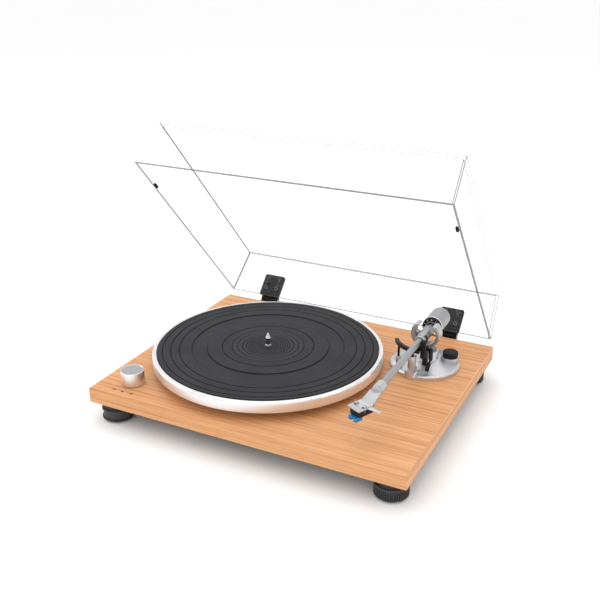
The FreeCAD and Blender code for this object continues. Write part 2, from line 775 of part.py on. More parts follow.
def tonearm_base():
    disc = turned([(0, 0), (base_radius, 0), (base_radius, base_rim - base_chamfer),
                   (base_radius - base_chamfer, base_rim), (0, base_rim)], (arm_x, arm_y, 0))
    cone = turned([(0, base_rim), (cone_outer, base_rim), (cone_inner, cone_top), (0, cone_top)],
                  angle=cone_sweep)
    cone.rotate(Vec(0, 0, 0), z_axis, cone_start)
    cone.translate(Vec(arm_x, arm_y, 0))
    turret = turned([(0, 0), (turret_radius, 0), (turret_radius, turret_top - 1),
                     (turret_radius - 1, turret_top), (0, turret_top)], (arm_x, arm_y, 0))
    lift_x, lift_y = on_arm_circle(lift_angle)
    lug = cylinder(lift_lug_radius, 0, lift_lug_top, lift_x, lift_y)
    body = disc.fuse([cone, turret, lug]).removeSplitter()
    guide_x, guide_y = on_arm_circle(guide_angle)
    return body.cut([cylinder(pivot_housing_radius, -1, turret_top + 1, arm_x, arm_y),
                     cylinder(plunger_radius + pass_gap, 2, lift_lug_top + 1, lift_x, lift_y),
                     cylinder(guide_radius + pass_gap, 1, base_rim + 1, guide_x, guide_y)])


def pivot_parts():
    top = turret_top
    housing = tube(pivot_housing_radius, yoke_shaft_radius + run_gap, pivot_housing_bottom, top, arm_x, arm_y)
    nut = tube(clamp_nut_radius, pivot_housing_radius, pocket_top - clamp_nut_thick, pocket_top, arm_x, arm_y)
    return [housing], [nut]


def yoke():
    half = yoke_length / 2
    ring = turned_on_arm([(yoke_inner, -half), (yoke_outer, -half), (yoke_outer, half), (yoke_inner, half)])
    post_low = turret_top + 2 * run_gap + pass_gap
    post = cylinder(yoke_post_radius, post_low, arm_height - yoke_inner - 2, arm_x, arm_y)
    shaft = cylinder(yoke_shaft_radius, pivot_housing_bottom + 1, post_low + 1, arm_x, arm_y)
    slot = yoke_slot / 2
    cuts = [block((arm_x - slot, arm_x + slot), (arm_y - 10, arm_y + 10), (arm_height, arm_height + 30)),
            block((arm_x - 30, arm_x + 30), (arm_y - 10, arm_y + 10),
                  (arm_height + yoke_top, arm_height + 30)),
            cylinder(yoke_shaft_bore, pivot_housing_bottom, arm_height, arm_x, arm_y),
            rod((arm_x - 30, arm_y, arm_height), (arm_x + 30, arm_y, arm_height), pivot_screw_radius)]
    return ring.fuse([post, shaft]).cut(cuts).removeSplitter()


def pivot_screws():
    solids = []
    for side in (-1, 1):
        tip = neck_radius - pivot_pin_depth + pass_gap
        outline = [(0, tip), (pivot_pin_radius, tip), (pivot_pin_radius, neck_radius + 1),
                   (pivot_screw_radius, neck_radius + 2.5), (pivot_screw_radius, yoke_outer + 0.5),
                   (0, yoke_outer + 0.5)]
        solids.append(turned(outline, (arm_x, arm_y, arm_height), x_axis * side))
    return solids


def arm_parts():
    seat = neck_front + neck_socket
    arm = turned_on_arm([(tube_radius - tube_wall, tube_front), (tube_radius, tube_front),
                         (tube_radius, seat),
                         (tube_radius - tube_wall, seat)])
    outline = [(tube_radius, neck_front), (neck_ring_radius, neck_front),
               (neck_ring_radius, neck_front + 1.2), (neck_ring_radius - 0.8, neck_front + 2.0),
               (neck_ring_radius - 0.8, neck_ring_end), (neck_radius, neck_ring_end + 2),
               (neck_radius, neck_rear - 1), (neck_radius - 1, neck_rear), (rear_shaft_radius, neck_rear),
               (rear_shaft_radius, rear_shaft_start), (0, rear_shaft_start), (0, seat), (tube_radius, seat)]
    neck = turned_on_arm(outline)
    depth = neck_radius - pivot_pin_depth
    pin_bore = pivot_pin_radius + run_gap
    neck = neck.cut([rod((arm_x + side * depth, arm_y, arm_height), (arm_x + side * 10, arm_y, arm_height),
                         pin_bore) for side in (-1, 1)])
    rear = turned_on_arm([(0, rear_shaft_start), (rear_shaft_radius, rear_shaft_start),
                          (rear_shaft_radius, rear_shaft_end - 0.8), (rear_shaft_radius - 0.8,
                                                                      rear_shaft_end),
                          (0, rear_shaft_end)])
    return [arm], [neck], [rear]


def counterweight_parts():
    dial_rear = dial_front + dial_length
    body_front = dial_rear + pass_gap
    sleeve = turned_on_arm([(rear_shaft_radius + run_gap, dial_front), (sleeve_radius, dial_front),
                            (sleeve_radius, weight_rear - 2), (rear_shaft_radius + run_gap, weight_rear - 2)])
    bore = sleeve_radius + run_gap
    weight = turned_on_arm([(bore, dial_front), (dial_boss_radius, dial_front),
                            (dial_boss_radius, body_front),
                            (weight_radius - 0.6, body_front), (weight_radius, body_front + 0.6),
                            (weight_radius, weight_rear - weight_chamfer),
                            (weight_radius - weight_chamfer, weight_rear), (bore, weight_rear)])
    dial_bore = dial_boss_radius + run_gap
    dial = turned_on_arm([(dial_bore, dial_front), (dial_radius - 1.2, dial_front),
                          (dial_radius, dial_front + 1.2), (dial_radius, dial_rear), (dial_bore, dial_rear)])
    return [sleeve], [weight], [dial]


def locking_collar():
    bore = tube_radius + run_gap
    return turned_on_arm([(bore, collar_front), (collar_radius - 0.6, collar_front),
                          (collar_radius, collar_front + 0.6), (collar_radius, collar_rear - 1.5),
                          (collar_radius - 1.2, collar_rear), (bore, collar_rear)])


def cartridge_place(ahead, across):
    # a point in the headshell's own directions: ahead towards the stylus, across to the right
    turn = math.radians(offset_angle)
    x = cartridge_x - ahead * math.sin(turn) + across * math.cos(turn)
    y = cartridge_y - ahead * math.cos(turn) - across * math.sin(turn)
    return x, y


def cartridge_block(ahead, across, low, high):
    corners = [cartridge_place(a, c) for a, c in ((ahead[0], across[0]), (ahead[1], across[0]),
                                                  (ahead[1], across[1]), (ahead[0], across[1]))]
    return plate(corners, low, high)


def headshell():
    left = -cartridge_width / 2
    right = cartridge_width / 2
    shell_start = arm_y + collar_front - shell_gap
    outline = [(arm_x - 7.4, shell_start), cartridge_place(-11, left - 1.6),
               cartridge_place(10.5, left - 1.6),
               cartridge_place(10.5, right + 1.6), cartridge_place(-9, right + 1.6), (arm_x + 6.6,
                       shell_start)]
    body = plate(outline, shell_bottom, shell_top)
    front = arm_y + collar_front - pass_gap
    collar = rod((arm_x, shell_start - 1, arm_height), (arm_x, front, arm_height), collar_radius - 0.7)
    keep = block((arm_x - 10, arm_x + 10), (shell_start - 1, front), (shell_bottom - 3, arm_height + 10))
    plug = rod((arm_x, front, arm_height), (arm_x, arm_y + tube_front - pass_gap, arm_height), plug_radius)
    lift = plate([cartridge_place(-9, right + 0.5), cartridge_place(-2, right + 0.5),
                  cartridge_place(-4, right + 9), cartridge_place(-6, right + 17),
                  cartridge_place(-9, right + 16), cartridge_place(-8, right + 9)],
                 shell_bottom, shell_bottom + 1.2)
    slots = []
    for side in (-1, 1):
        across = side * screw_spacing / 2
        half = (shell_slot_length - shell_slot_width) / 2
        ends = [cartridge_place(end * half, across) for end in (-1, 1)]
        way = shell_slot_width / 2
        slots += [cylinder(way, shell_bottom - 1, shell_top + 1, x, y) for x, y in ends]
        slots.append(cartridge_block((-half, half), (across - way, across + way), shell_bottom - 1,
                                     shell_top + 1))
    return body.fuse([collar.common(keep), plug, lift]).cut(slots).removeSplitter()


def cartridge_parts():
    half = cartridge_width / 2
    low = shell_bottom - cartridge_height
    body = cartridge_block((-cartridge_back, cartridge_front), (-half, half), low, shell_bottom)
    across = screw_spacing / 2
    bolts = []
    threads = []
    for side in (-1, 1):
        x, y = cartridge_place(0, side * across)
        bolts.append(cylinder(2.3, shell_top, shell_top + 1.4, x, y).fuse(
            cylinder(1.2, shell_bottom - 5, shell_top, x, y)).removeSplitter())
        threads.append(cylinder(1.2, shell_bottom - 5, shell_bottom + 1, x, y))
    body = body.cut(threads)
    guard = cartridge_block((guard_back, guard_front), (-guard_width / 2, guard_width / 2),
                            low - guard_height, low)
    mouth = cartridge_block((guard_back + 3, guard_front + 1), (-2, 2), low - guard_height - 1, low - 1.2)
    back_x, back_y = cartridge_place(guard_back + 3, 0)
    tip_x, tip_y = cartridge_place(stylus_ahead, 0)
    tip_z = arm_height - stylus_drop
    needle = rod((back_x, back_y, low - 1.8), (tip_x, tip_y, tip_z + 0.8), 0.35)
    diamond = turned([(0, -0.8), (0.25, 0.2), (0, 0.2)], (tip_x, tip_y, tip_z + 0.8))
    return [body], [guard.cut(mouth), needle.fuse(diamond)], bolts


def lead_wires():
    # four short leads from the headshell's plug to the pins on the cartridge's back
    solids = []
    low = shell_bottom - cartridge_height
    for number in range(4):
        across = -3.6 + 2.4 * number
        height = shell_bottom - 2.6 if number % 2 else low + 1.8
        end_x, end_y = cartridge_place(-cartridge_back, across)
        mid_x, mid_y = cartridge_place(-cartridge_back - 4, across)
        start_y = arm_y + collar_front - shell_gap - 1.5
        start = (arm_x - 2.4 + 1.6 * number, start_y, shell_bottom - 1.2)
        solids.append(wire([start, (start[0], start_y - 6.5, shell_bottom - 3.5), (mid_x, mid_y, height),
                            (end_x, end_y, height)], lead_radius, 1.6))
    return solids


def lift_parts():
    lift_x, lift_y = on_arm_circle(lift_angle)
    guide_x, guide_y = on_arm_circle(guide_angle)
    cylinder_body = tube(lift_cylinder_radius, plunger_radius + run_gap, lift_lug_top, lift_cylinder_top,
                         lift_x, lift_y)
    bush = tube(guide_bush_radius, guide_radius + run_gap, base_rim, guide_bush_top, guide_x, guide_y)
    half = rail_width / 2
    low = rail_top - rail_thick
    rail = turned([(rail_radius - half, low), (rail_radius + half, low), (rail_radius + half, rail_top),
                   (rail_radius - half, rail_top)], angle=rail_end - rail_start)
    rail.rotate(Vec(0, 0, 0), z_axis, rail_start)
    rail.translate(Vec(arm_x, arm_y, 0))
    plunger = cylinder(plunger_radius, base_rim, low, lift_x, lift_y)
    guide = cylinder(guide_radius, base_rim + pass_gap, low, guide_x, guide_y)
    head = cylinder(1.9, rail_top, rail_top + 0.3, lift_x, lift_y)
    return [cylinder_body, bush], [rail.fuse([plunger, guide, head]).removeSplitter()]


def armrest(base):
    leg = block(rest_x, (rest_y[1] - rest_leg, rest_y[1]), (base_rim, rest_post_top))
    post = block(rest_x, rest_y, (rest_post_top - rest_arm_thick, rest_post_top))
    saddle_rear = rest_y[0] + rest_saddle_length
    floor_left = arm_x - 3.5
    saddle = block((floor_left, rest_x[1]), (rest_y[0], saddle_rear), (rest_post_top - 2, rest_wall_top))
    cradle = tube_radius + rest_gap
    way = rod((arm_x, rest_y[0] - 1, arm_height), (arm_x, saddle_rear + 1, arm_height), cradle)
    left = block((floor_left - 1, arm_x), (rest_y[0] - 1, saddle_rear + 1),
                 (arm_height - cradle, rest_wall_top + 1))
    above = block((floor_left - 1, arm_x + cradle), (rest_y[0] - 1, saddle_rear + 1),
                  (arm_height, rest_wall_top + 1))
    shaft_bore = rod((rest_x[0] - 1, lever_y, lever_z), (rest_x[1] + 1, lever_y, lever_z),
                     lever_shaft_radius + run_gap)
    pin = rod((clip_pin_x, rest_y[0] - clip_width - 2 * pass_gap, arm_height),
              (clip_pin_x, rest_y[0] + 1, arm_height),
              clip_pin_radius)
    body = post.fuse([leg, saddle.cut([way, left, above]), pin]).cut(shaft_bore)
    return body.cut(base).removeSplitter()


def arm_clip():
    # drawn closed over the tube, then turned open about its pin
    rear = rest_y[0] - pass_gap
    front = rear - clip_width
    inner = tube_radius + clip_gap
    hoop = turned([(inner, front), (inner + clip_thick, front), (inner + clip_thick, rear), (inner, rear)],
                  (arm_x, 0, arm_height), y_axis)
    lower = block((arm_x - 20, arm_x + 20), (front - 1, rear + 1), (arm_height - 20, arm_height))
    left = block((arm_x - 20, arm_x - 3.6), (front - 1, rear + 1), (arm_height - 20, arm_height + 20))
    eye = rod((clip_pin_x, front, arm_height), (clip_pin_x, rear, arm_height), clip_eye_radius)
    link = block((arm_x + inner, clip_pin_x), (front, rear), (arm_height - 0.8, arm_height + 1.2))
    body = hoop.cut([lower, left]).fuse([eye, link])
    body = body.cut(rod((clip_pin_x, front - 1, arm_height), (clip_pin_x, rear + 1, arm_height),
                        clip_pin_radius + run_gap)).removeSplitter()
    body.rotate(Vec(clip_pin_x, 0, arm_height), y_axis, clip_open_angle)
    return body


def cue_lever():
    shaft = rod((rest_x[0], lever_y, lever_z), (lever_x, lever_y, lever_z), lever_shaft_radius)
    start = (lever_x, lever_y, lever_z)
    crank = rod(start, lever_bend, lever_radius)
    elbow = Part.makeSphere(lever_radius + 0.2, Vec(*start))
    joint = Part.makeSphere(lever_radius, Vec(*lever_bend))
    along = Vec(*lever_tip) - Vec(*lever_bend)
    grip_start = Vec(*lever_bend) + along * 0.3
    stub = rod(lever_bend, tuple(grip_start), lever_stub_radius)
    body = shaft.fuse([elbow, crank, joint, stub])
    length = (Vec(*lever_tip) - grip_start).Length
    outline = [(0, 0), (lever_stub_radius, 0), (lever_grip_radius, 1.0), (lever_grip_radius, length - 1),
               (lever_grip_radius - 1.0, length), (0, length)]
    grip = turned(outline, tuple(grip_start), along.normalize())
    return [body.cut(grip).removeSplitter()], [grip]


def anti_skate(base):
    housing = cylinder(skate_housing_radius, base_rim, skate_housing_top, skate_x, skate_y)
    housing = housing.cut([base, cylinder(2 + run_gap, base_rim, skate_housing_top + 1, skate_x, skate_y)])
    low = skate_housing_top + pass_gap
    knob = turned([(0, low), (skate_knob_radius, low), (skate_knob_radius, skate_knob_top - 0.8),
                   (skate_knob_radius - 0.8, skate_knob_top), (0, skate_knob_top)], (skate_x, skate_y, 0))
    knob = knob.fuse(cylinder(2, cone_top - 4, low + 1, skate_x, skate_y)).cut(base).removeSplitter()
    return [housing], [knob]


def swing_open(shape):
    # the cover and what is fixed to it turn up about the hinge axis
    turned_shape = shape.copy()
    turned_shape.rotate(Vec(0, hinge_y, hinge_z), x_axis, -cover_open_angle)
    return turned_shape


def rectangle(half_x, front, rear, z):
    corners = [Vec(-half_x, front, z), Vec(half_x, front, z), Vec(half_x, rear, z), Vec(-half_x, rear, z)]
    return Part.makePolygon(corners + corners[:1])


def dust_cover():
    lean = cover_draft
    wall = cover_wall
    outer = Part.makeLoft([rectangle(cover_half_width, cover_front, cover_rear, cover_rim),
                           rectangle(cover_half_width - lean, cover_front + lean, cover_rear - lean,
                                     cover_top)],
                          True, True)
    inner = Part.makeLoft([rectangle(cover_half_width - wall, cover_front + wall, cover_rear - wall,
                                     cover_rim),
                           rectangle(cover_half_width - wall - lean, cover_front + wall + lean,
                                     cover_rear - wall - lean, cover_top - wall)], True, True)
    drop = block((-cover_half_width + wall, cover_half_width - wall), (cover_front + wall, cover_rear - wall),
                 (cover_rim - 1, cover_rim))
    body = outer.cut([inner, drop])
    holes = [rod((x, cover_rear + 5, z), (x, cover_rear - 15, z), screw_radius + run_gap)
             for x, z in hinge_screw_places()]
    return swing_open(body.cut(holes))


def hinge_screw_places():
    return [(side * hinge_x + step, z) for side in (-1, 1) for step in (-9.0, 9.0)
            for z in (hinge_pad_low + 12, hinge_pad_high - 5)]


def cover_rear_at(z):
    # the outside of the cover's rear wall at a height, cover closed
    return cover_rear - cover_draft * (z - cover_rim) / (cover_top - cover_rim)


def cover_bumpers():
    across, high = bumper_size
    solids = []
    for side in (-1, 1):
        outer = side * (cover_half_width - cover_wall - 0.6)
        inner = outer - side * across
        low_x, high_x = min(outer, inner), max(outer, inner)
        solids.append(swing_open(block((low_x, high_x), bumper_y, (cover_rim - 0.6, cover_rim - 0.6 + high))))
    return solids


def hinge_bracket(side):
    middle = side * hinge_x
    half = hinge_bracket_width / 2
    rear = rear_face + hinge_bracket_thick
    body = block((middle - half, middle + half), (rear_face, rear), (-plinth_thick + 2, -1))
    for end in (-1, 1):
        outer = middle + end * half
        inner = outer - end * hinge_knuckle_width
        span = (min(outer, inner), max(outer, inner))
        knuckle = rod((span[0], hinge_y, hinge_z), (span[1], hinge_y, hinge_z), hinge_knuckle_radius)
        web = block(span, (rear_face, hinge_y), (hinge_z - hinge_knuckle_radius, hinge_z - 1))
        body = body.fuse([knuckle, web])
    holes = [rod((middle - half - 1, hinge_y, hinge_z), (middle + half + 1, hinge_y, hinge_z),
                 hinge_pin_radius)]
    holes += [rod((middle + end * 6, rear_face - 1, -12), (middle + end * 6, rear + 1, -12),
                  screw_radius + run_gap) for end in (-1, 1)]
    return body.cut(holes).removeSplitter()


def hinge_arm(side):
    # a knuckle between the bracket's two, and a pad screwed to the outside of the cover's rear wall
    middle = side * hinge_x
    half = hinge_bracket_width / 2 - hinge_knuckle_width - pass_gap
    knuckle = rod((middle - half, hinge_y, hinge_z), (middle + half, hinge_y, hinge_z), hinge_knuckle_radius)
    wide = hinge_pad_width / 2
    low_y = cover_rear_at(hinge_pad_low)
    high_y = cover_rear_at(hinge_pad_high)
    side_view = [Vec(middle - wide, low_y, hinge_pad_low),
                 Vec(middle - wide, low_y + hinge_pad_thick, hinge_pad_low),
                 Vec(middle - wide, high_y + hinge_pad_thick, hinge_pad_high),
                 Vec(middle - wide, high_y, hinge_pad_high)]
    pad = Part.Face(Part.makePolygon(side_view + side_view[:1])).extrude(Vec(hinge_pad_width, 0, 0))
    corners = [edge for edge in pad.Edges if abs(edge.Length - hinge_pad_thick) < run_gap]
    pad = pad.makeFillet(hinge_pad_corner, corners)
    web_view = [Vec(middle - half, hinge_y - hinge_knuckle_radius, hinge_z),
                Vec(middle - half, low_y + 0.5, hinge_pad_low),
                Vec(middle - half, low_y + 0.5, hinge_pad_low + 6),
                Vec(middle - half, hinge_y + hinge_knuckle_radius - 1, hinge_z + 3)]
    web = Part.Face(Part.makePolygon(web_view + web_view[:1])).extrude(Vec(2 * half, 0, 0))
    body = knuckle.fuse([web, pad])
    holes = [rod((middle - half - 1, hinge_y, hinge_z), (middle + half + 1, hinge_y, hinge_z),
                 hinge_pin_radius + run_gap)]
    holes += [rod((x, cover_rear + 20, z), (x, cover_rear - 20, z), screw_radius + run_gap)
              for x, z in hinge_screw_places() if x * side > 0]
    return swing_open(body.cut(holes).removeSplitter())


def hinge_pins():
    half = hinge_bracket_width / 2
    return [rod((side * hinge_x - half, hinge_y, hinge_z), (side * hinge_x + half, hinge_y, hinge_z),
                hinge_pin_radius) for side in (-1, 1)]


def hinge_screws():
    solids = []
    for x, z in hinge_screw_places():
        one = screw(0, 0, 0, hinge_pad_thick + cover_wall)
        seat = cover_rear_at(z) + hinge_pad_thick + 0.3
        one.Placement = FreeCAD.Placement(Vec(x, seat, z), FreeCAD.Rotation(z_axis, y_axis))
        solids.append(swing_open(one))
    return solids


def wiring():
    low = inside_bottom + channel_depth / 2
    row = board_pocket[2] + 20
    edge = board_size[0] / 2
    arm_lead = wire([(arm_x + 0.0, arm_y + pivot_housing_radius + 2, low), (arm_x, row, low),
                     (edge + 1, row, low)],
                    1.5, 12.0)
    motor_lead = wire([(motor_x, motor_y + motor_radius + 0.5, low), (motor_x, row, low),
                       (-edge - 1, row, low)],
                      1.5, 12.0)
    switch_lead = wire([(knob_x + switch_size / 2, knob_y, low), (motor_x, knob_y, low),
                        (motor_x, motor_y - motor_radius - 0.5, low)], 1.5, 12.0)
    return [arm_lead, motor_lead, switch_lead]


def build():
    base = tonearm_base()
    nodes = {"plinth": [plinth()], "bottom_cover": [bottom_cover()],
             "bottom_cover_screws": bottom_cover_screws(), "feet": feet(), "foot_pads": foot_pads(),
             "foot_screws": foot_screws()}
    nodes["bearing"] = bearing_parts()
    nodes["spindle"] = [spindle()]
    nodes["platter"] = [platter()]
    nodes["platter_mat"] = [platter_mat()]
    nodes["motor_can"], nodes["motor_plate"], nodes["motor_grommets"] = motor_parts()
    nodes["motor_pulley"] = motor_pulley()
    nodes["drive_belt"] = [drive_belt()]
    nodes["speed_switch"], nodes["speed_knob"] = speed_control()
    nodes["main_board"] = main_board()
    nodes["rear_panel"] = [rear_panel()]
    nodes["rca_jacks"], nodes["dc_jack"] = rear_sockets()
    nodes["output_switch"], nodes["output_switch_slider"] = output_switch()
    nodes["ground_post"], nodes["ground_nut"] = ground_terminal()
    nodes["small_screws"] = small_screws()
    nodes["tonearm_base"] = [base]
    nodes["pivot_housing"], nodes["base_clamp_nut"] = pivot_parts()
    nodes["yoke"] = [yoke()]
    nodes["pivot_screws"] = pivot_screws()
    nodes["arm_tube"], nodes["arm_neck"], nodes["rear_shaft"] = arm_parts()
    nodes["weight_sleeve"], nodes["counterweight"], nodes["force_dial"] = counterweight_parts()
    nodes["locking_collar"] = [locking_collar()]
    nodes["headshell"] = [headshell()]
    nodes["cartridge_body"], nodes["stylus"], nodes["cartridge_screws"] = cartridge_parts()
    nodes["lead_wires"] = lead_wires()
    nodes["lift_guides"], nodes["lift_rail"] = lift_parts()
    nodes["armrest"] = [armrest(base)]
    nodes["arm_clip"] = [arm_clip()]
    nodes["cue_lever"], nodes["cue_lever_grip"] = cue_lever()
    nodes["anti_skate_housing"], nodes["anti_skate_knob"] = anti_skate(base)
    nodes["dust_cover"] = [dust_cover()]
    nodes["cover_bumpers"] = cover_bumpers()
    nodes["hinge_bracket_left"] = [hinge_bracket(-1)]
    nodes["hinge_bracket_right"] = [hinge_bracket(1)]
    nodes["hinge_arm_left"] = [hinge_arm(-1)]
    nodes["hinge_arm_right"] = [hinge_arm(1)]
    nodes["hinge_pins"] = hinge_pins()
    nodes["hinge_screws"] = hinge_screws()
    nodes["wiring"] = wiring()
    return nodes


def export(nodes):
    whole = Part.makeCompound([solid for solids in nodes.values() for solid in solids]).BoundBox
    shift = Vec(-whole.Center.x, -whole.Center.y, -whole.ZMin)
    print("moved by", round(shift.x, 3), round(shift.y, 3), round(shift.z, 3))
    os.makedirs("parts", exist_ok=True)
    for node, solids in nodes.items():
        shape = Part.makeCompound(solids) if len(solids) > 1 else solids[0].copy()
        shape.translate(shift)
        shape.exportStep("parts/" + node + ".step")


export(build())
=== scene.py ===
import json
import math
import bpy
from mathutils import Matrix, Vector


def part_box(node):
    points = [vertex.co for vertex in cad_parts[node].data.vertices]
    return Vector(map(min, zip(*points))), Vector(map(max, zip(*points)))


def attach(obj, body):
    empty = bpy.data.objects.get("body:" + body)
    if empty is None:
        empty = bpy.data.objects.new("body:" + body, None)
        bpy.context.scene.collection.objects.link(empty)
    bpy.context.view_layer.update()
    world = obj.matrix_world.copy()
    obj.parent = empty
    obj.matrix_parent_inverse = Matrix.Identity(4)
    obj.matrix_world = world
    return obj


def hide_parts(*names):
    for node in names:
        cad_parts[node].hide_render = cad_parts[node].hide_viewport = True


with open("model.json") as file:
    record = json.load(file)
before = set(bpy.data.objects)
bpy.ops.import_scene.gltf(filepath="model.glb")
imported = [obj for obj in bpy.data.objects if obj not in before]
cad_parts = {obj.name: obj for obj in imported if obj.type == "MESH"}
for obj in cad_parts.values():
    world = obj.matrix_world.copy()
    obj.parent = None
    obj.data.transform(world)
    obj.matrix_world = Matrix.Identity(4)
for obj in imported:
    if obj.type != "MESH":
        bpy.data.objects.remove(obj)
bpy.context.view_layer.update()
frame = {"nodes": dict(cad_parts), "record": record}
print("frame loaded:", len(frame["nodes"]), "pieces")

mm = 0.001


def middleOf(node):
    low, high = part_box(node)
    return Vector([(a + b) / 2 for a, b in zip(low, high)])


# places that the looks are built on
plinthLow, plinthHigh = [Vector(corner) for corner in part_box("plinth")]
topZ = plinthHigh.z
platterCentre = middleOf("spindle")
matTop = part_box("platter_mat")[1][2]
armAxis = middleOf("rear_shaft")
armPivot = Vector((armAxis.x, middleOf("pivot_screws").y, armAxis.z))
knobCentre = middleOf("speed_knob")


class Link:
    # a socket that adds Math nodes when it is used in an expression
    def __init__(self, tree, socket):
        self.tree = tree
        self.socket = socket

    def maths(self, operation, *others, flipped=False):
        node = self.tree.nodes.new("ShaderNodeMath")
        node.operation = operation
        values = [self, *others]
        if flipped:
            values.reverse()
        for place, value in enumerate(values):
            if isinstance(value, Link):
                self.tree.links.new(value.socket, node.inputs[place])
            else:
                node.inputs[place].default_value = value
        return Link(self.tree, node.outputs[0])

    def __add__(self, other):
        return self.maths("ADD", other)

    __radd__ = __add__

    def __mul__(self, other):
        return self.maths("MULTIPLY", other)

    __rmul__ = __mul__

    def __sub__(self, other):
        return self.maths("SUBTRACT", other)

    def __rsub__(self, other):
        return self.maths("SUBTRACT", other, flipped=True)

    def above(self, limit):
        return self.maths("GREATER_THAN", limit)

    def below(self, limit):
        return self.maths("LESS_THAN", limit)

    def clamped(self):
        return self.maths("MAXIMUM", 0.0).maths("MINIMUM", 1.0)


class Finish:
    # one material and the nodes that make it
    def __init__(self, name):
        self.material = bpy.data.materials.new(name)
        self.material.use_nodes = True
        self.tree = self.material.node_tree
        self.shader = self.tree.nodes["Principled BSDF"]
        place = self.tree.nodes.new("ShaderNodeTexCoord")
        self.place = Link(self.tree, place.outputs["Object"])
        self.facing = Link(self.tree, place.outputs["Normal"])

    def node(self, kind, output=0, settings=None, **sockets):
        made = self.tree.nodes.new("ShaderNode" + kind)
        for name, value in (settings or {}).items():
            if name == "stops":
                ramp = made.color_ramp
                while len(ramp.elements) < len(value):
                    ramp.elements.new(0.5)
                for element, (position, colour) in zip(ramp.elements, value):
                    element.position = position
                    element.color = (*colour, 1.0)
            else:
                setattr(made, name, value)
        for name, value in sockets.items():
            where = int(name[1:]) if name[0] == "n" and name[1:].isdigit() else name.replace("_", " ")
            if isinstance(value, Link):
                self.tree.links.new(value.socket, made.inputs[where])
            else:
                made.inputs[where].default_value = value
        return Link(self.tree, made.outputs[output])

    def set(self, **sockets):
        for name, value in sockets.items():
            target = self.shader.inputs[name.replace("_", " ")]
            if isinstance(value, Link):
                self.tree.links.new(value.socket, target)
            else:
                target.default_value = value
        return self

    def noise(self, scale, detail=3.0, stretch=(1, 1, 1), roughness=0.5):
        place = self.node("Mapping", Vector=self.place, Scale=stretch)
        return self.node("TexNoise", Vector=place, Scale=scale, Detail=detail, Roughness=roughness)

    def mix(self, factor, first, second):
        # the colour sockets of a Mix node are its 7th and 8th, and its colour result the 3rd
        return self.node("Mix", output=2, settings={"data_type": "RGBA"}, Factor=factor, n6=first, n7=second)

    def ramp(self, value, stops):
        return self.node("ValToRGB", settings={"stops": stops}, Fac=value)

    def bump(self, height, strength, distance):
        raised = self.node("Bump", Height=height, Strength=strength, Distance=distance)
        return self.set(Normal=raised)

    def part(self, vector, axis):
        return self.node("SeparateXYZ", output="XYZ".index(axis), Vector=vector)

    def radiusFrom(self, centre, axis="Z"):
        place = self.node("Mapping", Vector=self.place, Location=tuple(-c for c in centre))
        flat = self.node("VectorMath", settings={"operation": "MULTIPLY"}, n0=place,
                         n1=tuple(0.0 if name == axis else 1.0 for name in "XYZ"))
        return self.node("VectorMath", output=1, settings={"operation": "LENGTH"}, n0=flat)


def grey(level):
    return (level, level, level, 1.0)


def rgb(red, green, blue):
    # display values from 0 to 255, as linear light
    def linear(v):
        v = v / 255
        return v / 12.92 if v <= 0.04045 else ((v + 0.055) / 1.055) ** 2.4
    return (linear(red), linear(green), linear(blue), 1.0)


def darker(colour, factor):
    return tuple(level * factor for level in colour[:3]) + (1.0,)


woodLooks = {"light": rgb(230, 175, 124), "middle": rgb(214, 152, 99), "dark": rgb(186, 120, 70),
             "line": rgb(150, 88, 46), "fibre": 760.0, "band": 270.0, "pore": 1100.0, "stretch": 0.012,
             "roughness": 0.46}


def woodFinish():
    looks = woodLooks
    wood = Finish("oiledVeneer")
    sideways = wood.part(wood.facing, "X").maths("ABSOLUTE").above(0.7)
    stretch = looks["stretch"]

    def grain(scale, detail, roughness=0.5, longer=1.0):
        along = wood.noise(scale, detail, (stretch / longer, 1, 1), roughness)
        across = wood.noise(scale, detail, (1, stretch / longer, 1), roughness)
        return along * (1 - sideways) + across * sideways

    fibres = grain(looks["fibre"], 4.0, 0.65)
    bands = grain(looks["band"], 3.0, 0.5, 2.0)
    pores = grain(looks["pore"], 2.0, 0.7, 0.5)
    tone = (fibres * 0.45 + bands * 0.55 - 0.5) * 2.5 + 0.5
    colour = wood.ramp(tone, [(0.12, looks["dark"][:3]), (0.45, looks["middle"][:3]),
                              (0.85, looks["light"][:3])])
    lines = ((0.44 - pores) * 8.0).clamped() * 0.4 + ((0.4 - fibres) * 6.0).clamped() * 0.3
    colour = wood.mix(lines, colour, looks["line"])
    wood.set(Base_Color=colour, Roughness=looks["roughness"] + fibres * 0.14, Coat_Weight=0.08,
             Coat_Roughness=0.4)
    wood.bump(fibres * 0.6 + pores * 0.4, 0.14, 0.0003)
    return wood.material


def plasticFinish(name, level, roughness, grainScale=900.0, tint=(1.0, 1.0, 1.02), gloss=0.14):
    plastic = Finish(name)
    cloud = plastic.noise(60.0, 2.0)
    grain = plastic.noise(grainScale, 2.0)
    dark = tuple(level * 0.85 * t for t in tint)
    light = tuple(level * 1.25 * t for t in tint)
    colour = plastic.ramp(cloud, [(0.35, dark), (0.68, light)])
    plastic.set(Base_Color=colour, Roughness=roughness + (cloud - 0.5) * 0.16)
    plastic.shader.inputs["Specular IOR Level"].default_value = gloss
    plastic.bump(grain, 0.12, 0.0002)
    return plastic.material


matLooks = {
    "rings": (137.0, 126.4, 115.2, 59.7, 46.9, 40.0, 33.5),
    "fineStart": 28.6, "fineStep": 3.1, "fineCount": 6,
    "width": 1.25, "slimInside": 50, "slim": 0.62, "depth": 0.95, "chamfer": 0.25, "bandOuter": 99.5,
    "bandInner": 79.0, "radius": 144.0, "hole": 4.4,
    # groove is painted shade, the near-black colour given to the bottoms of the narrow grooves
    "dark": rgb(35, 35, 38), "light": rgb(44, 44, 47), "groove": rgb(4, 4, 5), "paintedRibHighlight": rgb(52, 52, 55),
    # paintedRibHighlight is a lighter grey standing in for the highlights that the fine ribs catch inside
    # ribbedRadius
    "middle": rgb(20, 20, 21), "ribbedRadius": 48.0, "middleRadius": 12.4, "roughness": 0.66, "gloss": 0.3,
}


